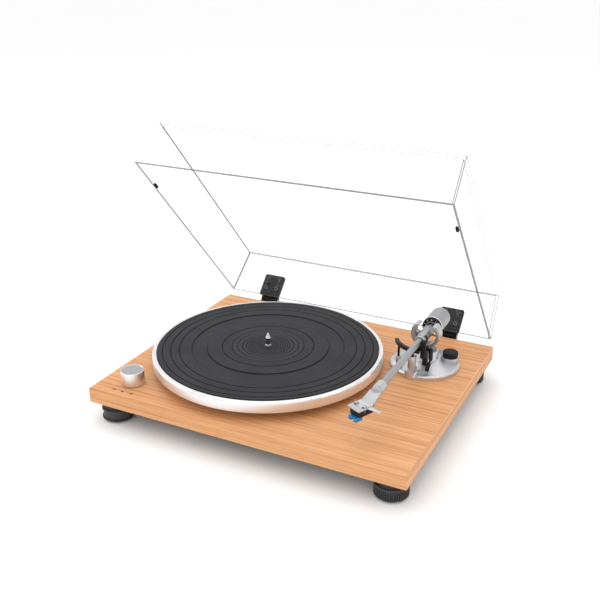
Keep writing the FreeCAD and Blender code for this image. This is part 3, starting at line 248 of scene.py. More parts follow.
def matFinish():
    looks = matLooks
    rubber = Finish("mouldedMatRubber")
    cloud = rubber.noise(35.0, 3.0)
    grain = rubber.noise(1500.0, 2.0)
    radius = rubber.radiusFrom((platterCentre.x, platterCentre.y, 0.0))
    band = radius.above((looks["bandInner"] + 1.3) * mm) * radius.below((looks["bandOuter"] - 1.2) * mm)
    # painted shade: faces sunk below the mat top, in the narrow grooves but not in the wide band, take the
    # near-black groove colour
    low = rubber.part(rubber.place, "Z").below(matTop - 0.35 * mm) * (1 - band)
    colour = rubber.ramp(cloud, [(0.3, looks["dark"][:3]), (0.7, looks["light"][:3])])
    # painted highlight: inside ribbedRadius the colour is lightened halfway towards a lighter grey, in place
    # of the light its fine ribs catch
    colour = rubber.mix(radius.below(looks["ribbedRadius"] * mm) * 0.5, colour, looks["paintedRibHighlight"])
    colour = rubber.mix(radius.below(looks["middleRadius"] * mm) * 0.8, colour, looks["middle"])
    colour = rubber.mix(low * 0.95, colour, looks["groove"])
    rubber.set(Base_Color=colour, Roughness=looks["roughness"] + (grain - 0.5) * 0.2)
    rubber.shader.inputs["Specular IOR Level"].default_value = looks["gloss"]
    rubber.bump(grain, 0.2, 0.0002)
    return rubber.material


def metalFinish(name, colour, roughness, turnedAbout=None, axis="Z", bump=0.05, top=1.0, side=0.0):
    # turned marks run round a point, and without one it is a blasted satin; top paints shade on the faces
    # that look up, darkening their colour in place of the dimmer reflection they show, and side roughens the
    # upright ones
    metal = Finish(name)
    cloud = metal.noise(90.0, 3.0)
    if turnedAbout:
        radius = metal.radiusFrom(turnedAbout, axis)
        lines = metal.node("TexNoise", settings={"noise_dimensions": "1D"}, W=radius * 1800.0, Scale=1.0,
                           Detail=3.0)
    else:
        lines = metal.noise(1700.0, 3.0)
    shade = (lines - 0.5) * 0.16 + (cloud - 0.5) * 0.08 + 1.0
    # painted shade: faces looking up have their colour scaled down by top
    if top != 1.0:
        shade = shade * (1 - metal.part(metal.facing, "Z").above(0.8) * (1 - top))
    tinted = metal.node("VectorMath", settings={"operation": "SCALE"}, n0=colour[:3], Scale=shade)
    rough = roughness + (lines - 0.5) * 0.14
    if side:
        rough = rough + metal.part(metal.facing, "Z").below(0.3) * side
    metal.set(Base_Color=tinted, Metallic=1.0, Roughness=rough)
    metal.bump(lines, bump, 0.0002)
    return metal.material


# the edge greys and their opacity are painted reflection for the cover's cut rim and rounded corners
coverFinishLooks = {"tint": (0.72, 0.75, 0.77, 1.0), "gloss": 0.03, "alpha": 0.025, "index": 1.49,
                    "edgeReflectionDark": rgb(84, 87, 90), "edgeReflectionLight": rgb(126, 129, 132), "edgeReflectionAlpha": 0.72}


def acrylicFinish():
    looks = coverFinishLooks
    clear = Finish("clearAcrylic")
    smear = (clear.noise(14.0, 3.0) - 0.5).maths("ABSOLUTE")
    clear.set(Base_Color=looks["tint"], Roughness=looks["gloss"] + smear * 0.06, IOR=looks["index"],
              Alpha=looks["alpha"] + smear * 0.03)
    return clear.material


# painted reflection: mostly opaque greys standing in for the light that the acrylic's cut edges reflect and
# bend
def acrylicEdgeReflectionFinish():
    looks = coverFinishLooks
    edge = Finish("acrylicEdgePaintedReflection")
    smear = edge.noise(120.0, 3.0)
    colour = edge.ramp(smear, [(0.3, looks["edgeReflectionDark"][:3]), (0.7, looks["edgeReflectionLight"][:3])])
    edge.set(Base_Color=colour, Roughness=0.2 + smear * 0.1, IOR=looks["index"],
             Alpha=looks["edgeReflectionAlpha"] + smear * 0.2)
    return edge.material


def colouredPlastic(name, first, second, roughness=0.35):
    plastic = Finish(name)
    cloud = plastic.noise(180.0, 2.0)
    colour = plastic.mix(cloud, first, second)
    plastic.set(Base_Color=colour, Roughness=roughness + (cloud - 0.5) * 0.1)
    plastic.bump(plastic.noise(1100.0), 0.05, 0.0001)
    return plastic.material


def boardFinish():
    board = Finish("circuitBoard")
    pads = board.noise(160.0, 1.0).above(0.62)
    colour = board.mix(pads, rgb(24, 92, 52), rgb(70, 140, 92))
    board.set(Base_Color=colour, Roughness=0.4 - pads * 0.1)
    board.bump(pads, 0.3, 0.0001)
    return board.material


platterPoint = (platterCentre.x, platterCentre.y, 0.0)
armLine = (armAxis.x, 0.0, armAxis.z)
finishes = {
    "wood": woodFinish(),
    "black_plastic": plasticFinish("blackPlastic", 0.014, 0.5),
    "black_steel": metalFinish("blackenedSteel", rgb(50, 50, 52), 0.35),
    "black_rubber": plasticFinish("blackRubber", 0.012, 0.7, 1500.0),
    "mat_rubber": matFinish(),
    "steel": metalFinish("zincSteel", rgb(178, 178, 180), 0.34),
    "brass": metalFinish("turnedBrass", rgb(214, 176, 116), 0.26),
    "gold_plate": metalFinish("goldPlate", rgb(232, 196, 120), 0.18),
    "chrome": metalFinish("chrome", rgb(232, 233, 236), 0.08, bump=0.01),
    "platter_aluminium": metalFinish("turnedAluminium", rgb(240, 240, 241), 0.13, platterPoint,
                                     bump=0.03, side=0.3),
    "silver_aluminium": metalFinish("satinSilver", rgb(196, 196, 198), 0.42),
    "satin_aluminium": metalFinish("armSatin", rgb(168, 169, 172), 0.46),
    "weight_silver": metalFinish("weightSatin", rgb(168, 168, 171), 0.42, armLine, "Y"),
    "circuit_board": boardFinish(),
    "wire_insulation": plasticFinish("wireSleeve", 0.02, 0.5),
    "stylus_blue": colouredPlastic("blueGuard", rgb(14, 100, 156), rgb(30, 132, 190), 0.3),
    "clear_acrylic": acrylicFinish(),
}
baseSilver = metalFinish("baseSilver", rgb(208, 208, 210), 0.42, (armPivot.x, armPivot.y, 0.0))
# painted shade on the knob's upper face: top=0.5 halves its colour
knobSilverPaintedTopShade = metalFinish("knobSilverPaintedTopShade", rgb(236, 236, 237), 0.36, (knobCentre.x, knobCentre.y, 0.0),
                         top=0.5)
spindleSteel = metalFinish("spindleSteel", rgb(186, 187, 190), 0.16)
footPlastic = plasticFinish("footPlastic", 0.045, 0.5, gloss=0.3)
printInk = colouredPlastic("printInk", rgb(34, 30, 28), rgb(48, 44, 40), 0.6)
whiteInkAndPaintedHighlight = colouredPlastic("whiteInkAndPaintedHighlight", rgb(226, 226, 224), rgb(240, 240, 238), 0.5)
markInk = colouredPlastic("markInk", rgb(206, 118, 84), rgb(222, 140, 104), 0.5)
acrylicEdgePaintedReflection = acrylicEdgeReflectionFinish()

slotOf = {piece["node"]: piece["material_slot"] for piece in frame["record"]["subparts"]}
for nodeName, nodeObject in frame["nodes"].items():
    nodeObject.data.materials.clear()
    nodeObject.data.materials.append(finishes[slotOf[nodeName]])
print("finishes ready:", len(finishes))


def nothingSelected():
    if bpy.context.object and bpy.context.object.mode != "OBJECT":
        bpy.ops.object.mode_set(mode="OBJECT")
    bpy.ops.object.select_all(action="DESELECT")


def only(obj):
    nothingSelected()
    obj.select_set(True)
    bpy.context.view_layer.objects.active = obj


def settle(obj, name):
    # the place, turn and size go into the mesh
    only(obj)
    bpy.ops.object.transform_apply(location=True, rotation=True, scale=True)
    obj.name = name
    obj.data.name = name


def selectFaces(obj, test):
    # the test is given each face's middle; edit mode is left on
    bpy.ops.object.mode_set(mode="OBJECT")
    mesh = obj.data
    for group in (mesh.vertices, mesh.edges, mesh.polygons):
        group.foreach_set("select", [False] * len(group))
    for face in mesh.polygons:
        face.select = test(face.center)
    bpy.ops.object.mode_set(mode="EDIT")
    bpy.ops.mesh.select_mode(type="FACE")


def softEdges(obj, width, segments=2, angle=32.0, clamped=True):
    only(obj)
    bevel = obj.modifiers.new("edges", "BEVEL")
    bevel.width = width
    bevel.segments = segments
    bevel.limit_method = "ANGLE"
    bevel.angle_limit = math.radians(angle)
    bevel.use_clamp_overlap = clamped
    bpy.ops.object.modifier_apply(modifier=bevel.name)


def smooth(obj, angle=32.0):
    only(obj)
    bpy.ops.object.shade_smooth_by_angle(angle=math.radians(angle))


def dress(obj, finish, body, slotName, *replaced):
    obj.data.materials.clear()
    obj.data.materials.append(finish)
    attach(obj, body)
    if replaced:
        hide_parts(*replaced)
    return obj


def turnedPiece(name, outline, centre, axis="Z", vertices=96, closed=True, smoothAngle=28.0):
    # outline is (radius, place along the axis) pairs in mm; a radius of 0 closes on the axis
    turn = {"Z": (0, 0, 0), "Y": (-math.pi / 2, 0, 0)}[axis]
    along = {"Z": Vector((0, 0, 1)), "Y": Vector((0, 1, 0))}[axis]
    centre = Vector(centre)
    tiny = 0.004
    points = [(max(radius, tiny), place) for radius, place in outline]
    if closed:
        points.append(points[0])
    nothingSelected()
    bpy.ops.mesh.primitive_circle_add(vertices=vertices, radius=points[0][0] * mm, rotation=turn,
                                      location=centre + along * points[0][1] * mm)
    obj = bpy.context.object
    settle(obj, name)
    bpy.ops.object.mode_set(mode="EDIT")
    bpy.ops.mesh.select_all(action="SELECT")
    for (radiusBefore, before), (radius, place) in zip(points, points[1:]):
        factor = radius / radiusBefore
        bpy.ops.mesh.extrude_edges_move(
            TRANSFORM_OT_translate={"value": tuple(along * (place - before) * mm)})
        sizes = tuple(1.0 if abs(along[i]) > 0.5 else factor for i in range(3))
        bpy.ops.transform.resize(value=sizes, center_override=centre + along * place * mm)
    bpy.ops.mesh.select_all(action="SELECT")
    bpy.ops.mesh.remove_doubles(threshold=0.009 * mm)
    bpy.ops.mesh.normals_make_consistent(inside=False)
    bpy.ops.object.mode_set(mode="OBJECT")
    smooth(obj, smoothAngle)
    return obj


def arc(centreRadius, centrePlace, radius, start, end, steps=4):
    # points of a rounded corner in an outline, with its angles in degrees
    for step in range(steps + 1):
        angle = math.radians(start + (end - start) * step / steps)
        yield centreRadius + radius * math.cos(angle), centrePlace + radius * math.sin(angle)


def copied(node, name):
    # a merged copy of a frame piece, left in edit mode with all of it selected
    source = frame["nodes"][node]
    nothingSelected()
    copy = source.copy()
    copy.data = source.data.copy()
    bpy.context.collection.objects.link(copy)
    for key in list(copy.keys()):
        del copy[key]
    copy.parent = None
    copy.matrix_world = source.matrix_world
    settle(copy, name)
    bpy.ops.object.mode_set(mode="EDIT")
    bpy.ops.mesh.select_all(action="SELECT")
    bpy.ops.mesh.remove_doubles(threshold=0.002 * mm)
    return copy


def refined(node, width=0.2, segments=2, angle=32.0, finish=None, clamped=True, flattened=True):
    # the copy has its sharp edges rounded by width mm, and takes the frame piece's place
    copy = copied(node, node + "Shaped")
    if flattened:
        bpy.ops.mesh.dissolve_limited(angle_limit=math.radians(0.6))
    bpy.ops.object.mode_set(mode="OBJECT")
    if width:
        softEdges(copy, width * mm, segments, angle, clamped)
    smooth(copy, angle)
    body = next(b for b, nodes in frame["record"]["behaviour"]["bodies"].items() if node in nodes)
    return dress(copy, finish or finishes[slotOf[node]], body, slotOf[node], node)


def printed(name, text, place, size, ink=None, thick=0.04, body="chassis", lean=(0, 0, 0)):
    # raised print of that thickness, lying on a face
    nothingSelected()
    bpy.ops.object.text_add(location=(0, 0, 0))
    obj = bpy.context.object
    obj.data.body = text
    obj.data.size = size * mm
    obj.data.align_x = "CENTER"
    obj.data.align_y = "CENTER"
    obj.data.extrude = thick * mm / 2
    obj.data.resolution_u = 3
    obj.data.offset = size * 0.012 * mm      # a bolder stroke
    bpy.ops.object.convert(target="MESH")
    obj = bpy.context.object
    obj.rotation_euler = lean
    obj.location = place
    settle(obj, name)
    return dress(obj, ink or printInk, body, "black_plastic")


plinthLooks = {
    "labels": (("label33", "33", -11.5), ("label45", "45", 14.5)), "labelSize": 5.2, "labelsFromFront": 11.5,
    "stopAway": 1.5, "stopSize": 3.0, "inkThick": 0.04, "inkLift": 0.02, "bottomEdge": 0.3,
}


def makePlinth():
    looks = plinthLooks
    refined("plinth", 0.0, angle=20.0)
    z = topZ + looks["inkLift"] * mm
    y = plinthLow.y + looks["labelsFromFront"] * mm
    for name, text, away in looks["labels"]:
        printed(name, text, (knobCentre.x + away * mm, y, z), looks["labelSize"])
    nothingSelected()
    bpy.ops.mesh.primitive_plane_add(size=looks["stopSize"] * mm,
                                     location=(knobCentre.x + looks["stopAway"] * mm, y,
                                               z + looks["inkLift"] * mm))
    square = bpy.context.object
    settle(square, "labelStop")
    bpy.ops.object.mode_set(mode="EDIT")
    bpy.ops.mesh.select_all(action="SELECT")
    bpy.ops.mesh.extrude_region_move(TRANSFORM_OT_translate={"value": (0, 0, -looks["inkThick"] * mm)})
    bpy.ops.mesh.select_all(action="SELECT")
    bpy.ops.mesh.normals_make_consistent(inside=False)
    bpy.ops.object.mode_set(mode="OBJECT")
    dress(square, printInk, "chassis", "black_plastic")
    refined("bottom_cover", looks["bottomEdge"])


footLooks = {
    "ribs": 48, "ribDepth": 1.5, "ribEnds": 2.0, "ringTop": 15.0, "ringRadius": 20.0, "collarRadius": 16.0,
    "round": 1.4, "hollowRadius": 7.0, "hollowTop": 4.0, "screwHole": 3.0, "padEdge": 0.3, "screwEdge": 0.15,
}


def makeFeet():
    looks = footLooks
    base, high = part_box("feet")
    low = base[2]
    tall = (high[2] - low) / mm
    radius = looks["ringRadius"]
    ring = looks["ringTop"]
    collar = looks["collarRadius"]
    corner = looks["round"]
    inner = radius - corner
    outline = [(looks["hollowRadius"], 0.0), (radius - 2.2, 0.0), *arc(inner, corner, corner, -80, 0, 3),
               (radius, 2.2), (radius, ring - 2.2), *arc(inner, ring - corner, corner, 0, 85, 3),
               (collar + 0.6, ring), (collar, ring + 0.6), (collar, tall), (looks["screwHole"], tall),
               (looks["screwHole"], looks["hollowTop"]), (looks["hollowRadius"], looks["hollowTop"])]
    for sideways in (0, 1):
        for lengthways in (0, 1):
            x = (base[0] + radius * mm, high[0] - radius * mm)[sideways]
            y = (base[1] + radius * mm, high[1] - radius * mm)[lengthways]
            foot = turnedPiece("foot%d%d" % (sideways, lengthways), outline, (x, y, low),
                               vertices=looks["ribs"] * 2)

            def rib(centre, x=x, y=y):
                away = math.hypot(centre.x - x, centre.y - y)
                turn = math.degrees(math.atan2(centre.y - y, centre.x - x)) % 360
                count = int(turn / (180.0 / looks["ribs"]))
                level = (centre.z - low) / mm
                between = looks["ribEnds"] < level < ring - looks["ribEnds"]
                return away > (radius - 0.4) * mm and between and count % 2 == 0

            only(foot)
            selectFaces(foot, rib)
            bpy.ops.mesh.extrude_region_move(TRANSFORM_OT_translate={"value": (0, 0, 0)})
            factor = 1 - looks["ribDepth"] / radius
            bpy.ops.transform.resize(value=(factor, factor, 1), center_override=(x, y, low))
            bpy.ops.object.mode_set(mode="OBJECT")
            smooth(foot, 25.0)
            dress(foot, footPlastic, "chassis", "black_plastic")
    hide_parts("feet")
    refined("foot_pads", looks["padEdge"])
    refined("foot_screws", looks["screwEdge"])


platterLooks = {
    "hubRadius": 20.0, "plateThick": 5.0, "driveRing": (80.0, 85.0), "driveRingLow": 2.0, "rimInside": 142.0,
    "rimLow": 3.4, "rimRadius": 150.0, "lowRound": 1.0, "topRound": 2.4, "seatGap": 0.3, "bore": 4.0,
}


def makePlatter():
    looks = platterLooks
    low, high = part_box("platter")
    top = (high[2] - low[2]) / mm
    plate = (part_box("platter_mat")[0][2] - low[2]) / mm
    seat = matLooks["radius"] + looks["seatGap"]
    under = plate - looks["plateThick"]
    hub, bore = looks["hubRadius"], looks["bore"]
    ringInside, ring = looks["driveRing"]
    ringLow, inside, rim = looks["driveRingLow"], looks["rimInside"], looks["rimRadius"]
    lowRound, topRound = looks["lowRound"], looks["topRound"]
    outline = [(hub, 0.0), (hub, under), (ringInside, under), (ringInside, ringLow), (ring, ringLow),
               (ring, under),
               (inside, under), (inside, looks["rimLow"]), *arc(rim - lowRound, 4.2, lowRound, -85, 0, 3),
               (rim, top - 2.6), *arc(rim - topRound, top - topRound, topRound, 0, 75, 5),
               (seat + 0.5, top), (seat, top - 0.5), (seat, plate), (bore, plate), (bore, 0.0)]
    platter = turnedPiece("platterTurned", outline, (platterCentre.x, platterCentre.y, low[2]), vertices=192)
    dress(platter, finishes["platter_aluminium"], "platter", "platter_aluminium", "platter")


def makeMat():
    looks = matLooks
    thick = (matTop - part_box("platter_mat")[0][2]) / mm
    fine = [looks["fineStart"] - looks["fineStep"] * i for i in range(looks["fineCount"])]
    deep, edge, outer = looks["depth"], looks["chamfer"], looks["radius"]
    bandOuter, bandInner = looks["bandOuter"], looks["bandInner"]
    points = [(looks["hole"], -thick), (outer, -thick), (outer, -1.1), (outer - 0.4, -0.6),
              (outer - 1.0, -0.2), (outer - 1.8, 0.0)]
    marks = [(ring, "ring") for ring in (*looks["rings"], *fine)] + [(bandOuter, "band")]
    for radius, kind in sorted(marks, reverse=True):
        if kind == "band":
            points += [(radius + edge, 0.0), (radius, -edge), (radius, -deep), (bandInner, -deep),
                       (bandInner, -edge), (bandInner - edge, 0.0)]
        else:
            half = looks["width"] / 2 * (1.0 if radius > looks["slimInside"] else looks["slim"])
            points += [(radius + half + edge, 0.0), (radius + half, -edge), (radius + half * 0.6, -deep),
                       (radius - half * 0.6, -deep), (radius - half, -edge), (radius - half - edge, 0.0)]
    points.append((looks["hole"], 0.0))
    mat = turnedPiece("recordMat", points, (platterCentre.x, platterCentre.y, matTop), vertices=144,
                      smoothAngle=35.0)
    dress(mat, finishes["mat_rubber"], "platter", "mat_rubber", "platter_mat")


spindleLooks = {"hub": 4.0, "pin": 3.58, "neck": 2.9, "neckStart": 1.2, "cone": 7.0}


def makeSpindle():
    looks = spindleLooks
    low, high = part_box("spindle")
    tip = (high[2] - matTop) / mm
    shoulder = tip - looks["cone"]
    base = (low[2] - matTop) / mm
    hub, pin, neck, start = looks["hub"], looks["pin"], looks["neck"], looks["neckStart"]
    outline = [(0, base), (hub, base), (hub, 0.0), (pin, 0.0), (pin, start), (neck, start + 0.7),
               (neck, shoulder - 0.8), (3.4, shoulder - 0.5), (pin, shoulder), (3.3, shoulder + 0.5),
               (0.5, tip - 0.3), (0, tip)]
    spindle = turnedPiece("spindleTurned", outline, (platterCentre.x, platterCentre.y, matTop), vertices=48,
                          closed=False, smoothAngle=40.0)
    dress(spindle, spindleSteel, "platter", "chrome", "spindle")


knobLooks = {
    "radius": 14.7, "gap": 0.5, "shaftRadius": 3.0, "topRound": 0.9, "sunk": 0.4,
    "markRadius": 0.8, "markAway": 11.4, "markAngle": -120.0, "markLow": 0.42, "markTop": 0.34,
}


def makeKnob():
    looks = knobLooks
    low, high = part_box("speed_knob")
    radius, gap, shaft = looks["radius"], looks["gap"], looks["shaftRadius"]
    corner, sunk = looks["topRound"], looks["sunk"]
    height = (high[2] - topZ) / mm
    shaftLow = (low[2] - topZ) / mm
    outline = [(0, shaftLow), (shaft, shaftLow), (shaft, gap), (radius - 0.7, gap), (radius, gap + 0.7),
               *arc(radius - corner, height - corner, corner, 0, 80, 4), (radius - 1.4, height),
               (radius - 1.8, height - sunk), (0, height - sunk)]
    knob = turnedPiece("speedKnobTurned", outline, (knobCentre.x, knobCentre.y, topZ), vertices=96,
                       closed=False)
    dress(knob, knobSilverPaintedTopShade, "speed_knob", "silver_aluminium", "speed_knob")
    angle = math.radians(looks["markAngle"])
    place = Vector((knobCentre.x + looks["markAway"] * mm * math.cos(angle),
                    knobCentre.y + looks["markAway"] * mm * math.sin(angle), topZ))
    markLow, markTop = height - looks["markLow"], height - looks["markTop"]
    mark = turnedPiece("knobMark",
                       [(0, markLow), (looks["markRadius"], markLow), (looks["markRadius"], markTop),
                                    (0, markTop)], place, vertices=20, closed=False)
    dress(mark, markInk, "speed_knob", "silver_aluminium")


def onArm(along, across=0.0, up=0.0):
    return armPivot + Vector((across, along, up)) * mm


# outlines round the arm's line: radius, then distance behind the pivot
armLooks = {
    "tubeOutside": 4.1, "tubeInside": 3.5,
    "neck": [(4.1, -27.0), (5.6, -27.0), (6.0, -26.6), (6.0, -25.7), (5.3, -25.0), (5.0, -24.0), (5.2, -21.0),
             (5.8, -19.0), (6.9, -17.6), (7.2, -16.8), (7.2, 8.0), *arc(6.2, 8.0, 1.0, 0, 85, 4), (5.02, 9.0),
             (5.02, 3.0), (0, 3.0), (0, -15.0), (4.1, -15.0)],
    # a thin white band painted as the highlight along the neck's flared edge
    "neckPaintedHighlight": [(6.02, -26.9), (6.2, -26.7), (6.2, -25.8), (6.02, -25.6)],
    "shaft": [(0, 3.0), (5.0, 3.0), (5.0, 61.2), (4.4, 62.0), (0, 62.0)],
}


def makeArm():
    looks = armLooks
    satin = finishes["satin_aluminium"]
    low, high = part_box("arm_tube")
    front = (low[1] - armPivot.y) / mm
    rear = (high[1] - armPivot.y) / mm
    outside, inside = looks["tubeOutside"], looks["tubeInside"]
    tube = turnedPiece("armTubeDrawn", [(inside, front), (outside - 0.2, front), (outside, front + 0.3),
                                        (outside, rear), (inside, rear)], armPivot, "Y", 48)
    dress(tube, satin, "arm", "satin_aluminium", "arm_tube")
    neck = turnedPiece("armNeckTurned", looks["neck"], armPivot, "Y", 64)
    dress(neck, satin, "arm", "satin_aluminium", "arm_neck")
    # painted highlight: a white ring stands in for the light caught by the neck's flared edge; the same white
    # material also prints the dial numbers
    ring = turnedPiece("neckPaintedHighlight", looks["neckPaintedHighlight"], armPivot, "Y", 64)
    dress(ring, whiteInkAndPaintedHighlight, "arm", "satin_aluminium")
    shaft = turnedPiece("rearShaftTurned", looks["shaft"], armPivot, "Y", 48, closed=False)
    dress(shaft, satin, "arm", "satin_aluminium", "rear_shaft")


counterweightLooks = {
    "weight": [(6.55, 17.5), (8.5, 17.5), (8.5, 23.0), (12.4, 23.0), (12.7, 23.2), (13.2, 23.7), (13.2, 31.0),
               (12.9, 31.3), (12.9, 31.9), (13.2, 32.2), (13.2, 56.2), *arc(11.8, 56.6, 1.4, 0, 80, 4),
               (9.6, 58.0), (9.2, 57.4), (6.9, 57.4), (6.55, 57.0)],
    "whiteRing": [(13.0, 23.05), (13.3, 23.35), (13.3, 23.9), (13.15, 24.0), (12.6, 23.1)],
    "dial": [(8.55, 17.5), (9.2, 17.5), (11.6, 17.7), (12.2, 18.1), (12.6, 18.9), (12.6, 22.6), (12.3, 22.7),
             (8.55, 22.7)],
    "gripRadius": 12.4, "gripTurn": 3.0, "gripDepth": 0.975, "gripMiddle": 20.0,
    "numbers": 11, "numberSize": 3.6, "numberRadius": 10.2, "numberFace": 17.55, "sleeveEdge": 0.15,
}


def makeCounterweight():
    looks = counterweightLooks
    weight = turnedPiece("counterweightTurned", looks["weight"], armPivot, "Y", 96)
    dress(weight, finishes["weight_silver"], "counterweight", "weight_silver", "counterweight")
    rim = turnedPiece("weightRing", looks["whiteRing"], armPivot, "Y", 96)
    dress(rim, whiteInkAndPaintedHighlight, "counterweight", "weight_silver")
    dial = turnedPiece("forceDialTurned", looks["dial"], armPivot, "Y", 120)

    def grip(centre):
        turn = math.degrees(math.atan2(centre.z - armPivot.z, centre.x - armPivot.x)) % 360
        away = math.hypot(centre.x - armPivot.x, centre.z - armPivot.z)
        return away > looks["gripRadius"] * mm and int(turn / looks["gripTurn"]) % 2 == 0

    selectFaces(dial, grip)
    bpy.ops.mesh.extrude_region_move(TRANSFORM_OT_translate={"value": (0, 0, 0)})
    bpy.ops.transform.resize(value=(looks["gripDepth"], 1, looks["gripDepth"]),
                             center_override=onArm(looks["gripMiddle"]))
    bpy.ops.object.mode_set(mode="OBJECT")
    smooth(dial)
    dress(dial, finishes["black_plastic"], "force_dial", "black_plastic", "force_dial")
    away = looks["numberRadius"]
    for step in range(looks["numbers"]):
        angle = math.radians(90 - step * 360.0 / looks["numbers"])
        place = onArm(looks["numberFace"], away * math.cos(angle), away * math.sin(angle))
        printed("dialNumber%d" % step, str(step % 4), place, looks["numberSize"], ink=whiteInkAndPaintedHighlight,
                body="force_dial", lean=(math.pi / 2, math.pi / 2 - angle, 0))
    refined("weight_sleeve", looks["sleeveEdge"])


bearingLooks = {"yokeEdge": 0.8, "screwEdge": 0.15, "housingEdge": 0.15, "nutEdge": 0.3, "brassFrom": 9.5}


def makeArmBearing():
    looks = bearingLooks
    refined("yoke", looks["yokeEdge"], 3)
    screws = refined("pivot_screws", looks["screwEdge"])
    screws.data.materials.append(finishes["silver_aluminium"])
    for face in screws.data.polygons:      # only the outer screw on the right is brass
        if face.center.x < armPivot.x + looks["brassFrom"] * mm:
            face.material_index = 1
    refined("pivot_housing", looks["housingEdge"])
    refined("base_clamp_nut", looks["nutEdge"])


baseLooks = {"antiSkateEdge": 0.4, "guideEdge": 0.15, "dialEdge": 0.5}


def makeTonearmBase():
    looks = baseLooks
    refined("tonearm_base", 0.0, angle=24.0, finish=baseSilver, flattened=False)
    refined("anti_skate_housing", looks["antiSkateEdge"], 3)
    refined("lift_guides", looks["guideEdge"], finish=finishes["silver_aluminium"])
    refined("anti_skate_knob", looks["dialEdge"], 3)


headLooks = {
    "shellEdge": 0.25, "cartridgeEdge": 1.1, "screwEdge": 0.1, "guardEdge": 0.6,
    "collarInside": 4.15, "collarRadius": 6.4, "grooveRadius": 6.1,
}


def makeHeadshell():
    looks = headLooks
    refined("headshell", looks["shellEdge"], 2)
    refined("cartridge_body", looks["cartridgeEdge"], 4)
    refined("cartridge_screws", looks["screwEdge"])
    refined("stylus", looks["guardEdge"], 3)
    low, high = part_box("locking_collar")
    front = (low[1] - armPivot.y) / mm
    rear = (high[1] - armPivot.y) / mm
    inside, radius, groove = looks["collarInside"], looks["collarRadius"], looks["grooveRadius"]
    outline = [(inside, front), (5.9, front), (radius, front + 0.5), (radius, front + 3.6),
               (groove, front + 3.9), (groove, front + 4.5), (radius, front + 4.8), (6.5, rear - 2.0),
               (5.6, rear - 0.4), (5.2, rear),
               (inside, rear)]
    collar = turnedPiece("lockingCollarTurned", outline, armPivot, "Y", 72)
    dress(collar, finishes["silver_aluminium"], "locking_collar", "silver_aluminium", "locking_collar")


leadLooks = (("leadRed", rgb(190, 30, 30)), ("leadWhite", rgb(232, 230, 224)),
             ("leadGreen", rgb(40, 130, 70)),
             ("leadBlue", rgb(40, 84, 170)))


def makeLeads():
    copied("lead_wires", "leads")
    bpy.ops.mesh.separate(type="LOOSE")
    bpy.ops.object.mode_set(mode="OBJECT")
    wires = sorted(bpy.context.selected_objects,
                   key=lambda wire: [min(v.co[i] for v in wire.data.vertices) for i in (0, 2)])
    for place, wire in enumerate(wires):
        name, colour = leadLooks[place % len(leadLooks)]
        wire.name = name + ("" if place < len(leadLooks) else str(place))
        smooth(wire, 50.0)
        dress(wire, colouredPlastic(name + "Sleeve", darker(colour, 0.7), colour, 0.4), "arm",
              "wire_insulation")
    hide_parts("lead_wires")


liftLooks = {"railEdge": 0.4, "restEdge": 0.35, "restSlim": 0.97, "clipEdge": 0.3, "gripEdge": 0.5}


def makeLift():
    looks = liftLooks
    refined("lift_rail", looks["railEdge"], 3)
    refined("armrest", looks["restEdge"], 3)
    bpy.ops.object.mode_set(mode="EDIT")      # a little clearance for the yoke at the end of its swing
    bpy.ops.mesh.select_all(action="SELECT")
    bpy.ops.transform.resize(value=(looks["restSlim"], looks["restSlim"], 1),
                             center_override=middleOf("armrest"))
    bpy.ops.object.mode_set(mode="OBJECT")
    refined("arm_clip", looks["clipEdge"], 3)
    refined("cue_lever", 0.0, angle=50.0)
    refined("cue_lever_grip", looks["gripEdge"], 3)


coverLooks = {"corner": 0.9, "edgeWidth": 4.5, "bumperEdge": 0.3, "padEdge": 0.8, "bracketEdge": 0.5,
              "screwEdge": 0.15}


def makeCover():
    looks = coverLooks
    cover = refined("dust_cover", looks["corner"], 2, 60.0, clamped=False)
    cover.data.materials.append(acrylicEdgePaintedReflection)
    for face in cover.data.polygons:      # the cut rim and the rounded corners get the painted edge reflection, grey lines standing in for light reflected at the acrylic's edges
        corners = [cover.data.vertices[v].co for v in face.vertices]
        around = sum((a - b).length for a, b in zip(corners, corners[1:] + corners[:1]))
        if 2 * face.area < around * looks["edgeWidth"] * mm:
            face.material_index = 1
    refined("cover_bumpers", looks["bumperEdge"])
    for side in ("left", "right"):
        refined("hinge_arm_" + side, looks["padEdge"], 3)
        refined("hinge_bracket_" + side, looks["bracketEdge"], 2)
    refined("hinge_screws", looks["screwEdge"])


rearLooks = {
    "panelEdge": 0.3, "socketEdge": 0.15, "powerEdge": 0.2, "sliderEdge": 0.25, "socketAway": 5.5,
    "ring": [(4.9, 0.05), (6.2, 0.05), (6.2, 0.5), (5.9, 0.8), (4.9, 0.8)],
    "white": rgb(235, 235, 232), "red": rgb(196, 30, 34),
}


def makeRear():
    looks = rearLooks
    refined("rear_panel", looks["panelEdge"])
    refined("rca_jacks", looks["socketEdge"])
    refined("dc_jack", looks["powerEdge"])
    refined("output_switch_slider", looks["sliderEdge"])
    refined("ground_nut", 0.0, angle=25.0)
    low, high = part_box("rca_jacks")
    away = looks["socketAway"] * mm
    for name, x, colour in (("socketRingLeft", low[0] + away, looks["white"]),
                            ("socketRingRight", high[0] - away, looks["red"])):
        ring = turnedPiece(name, looks["ring"], (x, plinthHigh.y, middleOf("rca_jacks").z), "Y", 40)
        dress(ring, colouredPlastic(name + "Plastic", darker(colour, 0.8), colour), "chassis",
              "black_plastic")


makePlinth()
makeFeet()
print("plinth and feet made")
makePlatter()
makeMat()
makeSpindle()
makeKnob()
print("platter and knob made")
makeArm()
makeCounterweight()
makeArmBearing()
makeTonearmBase()
makeHeadshell()
makeLeads()
makeLift()
print("tonearm made")
makeCover()
makeRear()
print("cover and rear made")


floorLooks = {"size": 60.0, "sunk": 0.6, "dark": grey(0.97), "light": grey(0.99), "roughness": 0.9,
              "gloss": 0.1}


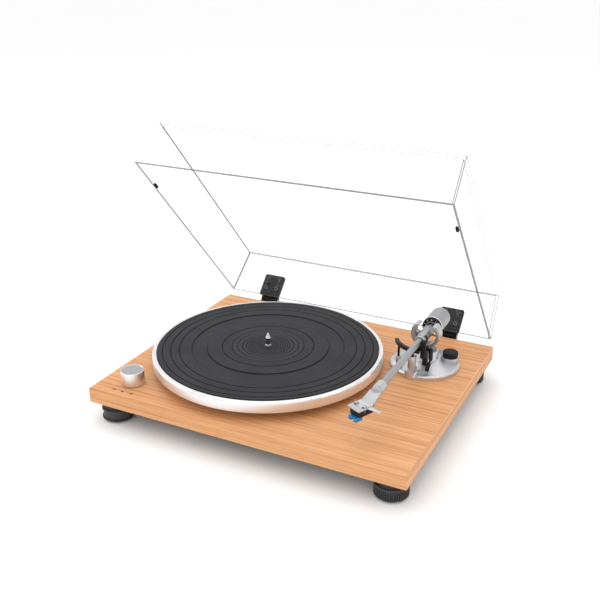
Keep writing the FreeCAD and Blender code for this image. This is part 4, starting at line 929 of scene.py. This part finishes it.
def makeStage():
    looks = floorLooks
    nothingSelected()
    bpy.ops.mesh.primitive_plane_add(size=looks["size"], location=(0, 0, -looks["sunk"] * mm))
    floor = bpy.context.object
    floor.name = "floor"
    pale = Finish("paleFloor")
    cloud = pale.noise(0.8, 2.0)
    pale.set(Base_Color=pale.mix(cloud, looks["dark"], looks["light"]), Roughness=looks["roughness"])
    pale.shader.inputs["Specular IOR Level"].default_value = looks["gloss"]
    floor.data.materials.append(pale.material)


roomStrength = 1.0
lightLooks = {
    "top": {"place": (-0.3, 0.5, 1.9), "size": 1.8, "power": 9.0},
    "front": {"place": (0.2, -2.1, 1.3), "size": 1.4, "power": 4.0},
    "left": {"place": (-2.1, -0.5, 1.1), "size": 1.2, "power": 7.0},
    "right": {"place": (2.1, 0.1, 1.2), "size": 1.0, "power": 2.0},
}
lightTarget = Vector((0, 0, 0.08))


def makeLights():
    world = bpy.data.worlds.new("paleRoom")
    bpy.context.scene.world = world
    world.use_nodes = True
    background = world.node_tree.nodes["Background"]
    background.inputs["Color"].default_value = grey(1.0)
    background.inputs["Strength"].default_value = roomStrength
    for name, looks in lightLooks.items():
        nothingSelected()
        bpy.ops.object.light_add(type="AREA", location=looks["place"])
        lamp = bpy.context.object
        lamp.name = name + "Light"
        lamp.data.energy = looks["power"]
        lamp.data.size = looks["size"]
        lamp.rotation_euler = (lightTarget - lamp.location).to_track_quat("-Z", "Y").to_euler()


cameraLooks = {"place": (0.4483, -0.9153, 0.5629), "turn": (66.97, 0.09, 26.71), "focal": 51.49,
               "sensor": 36.0}


def makeCamera():
    nothingSelected()
    turn = [math.radians(angle) for angle in cameraLooks["turn"]]
    bpy.ops.object.camera_add(location=cameraLooks["place"], rotation=turn)
    camera = bpy.context.object
    camera.data.sensor_width = cameraLooks["sensor"]
    camera.data.lens = cameraLooks["focal"]
    camera.data.clip_start = 0.01
    camera.data.clip_end = 50.0
    bpy.context.scene.camera = camera


makeStage()
makeLights()
makeCamera()
bpy.context.scene.view_settings.view_transform = "Standard"
print("stage, lights and camera set")
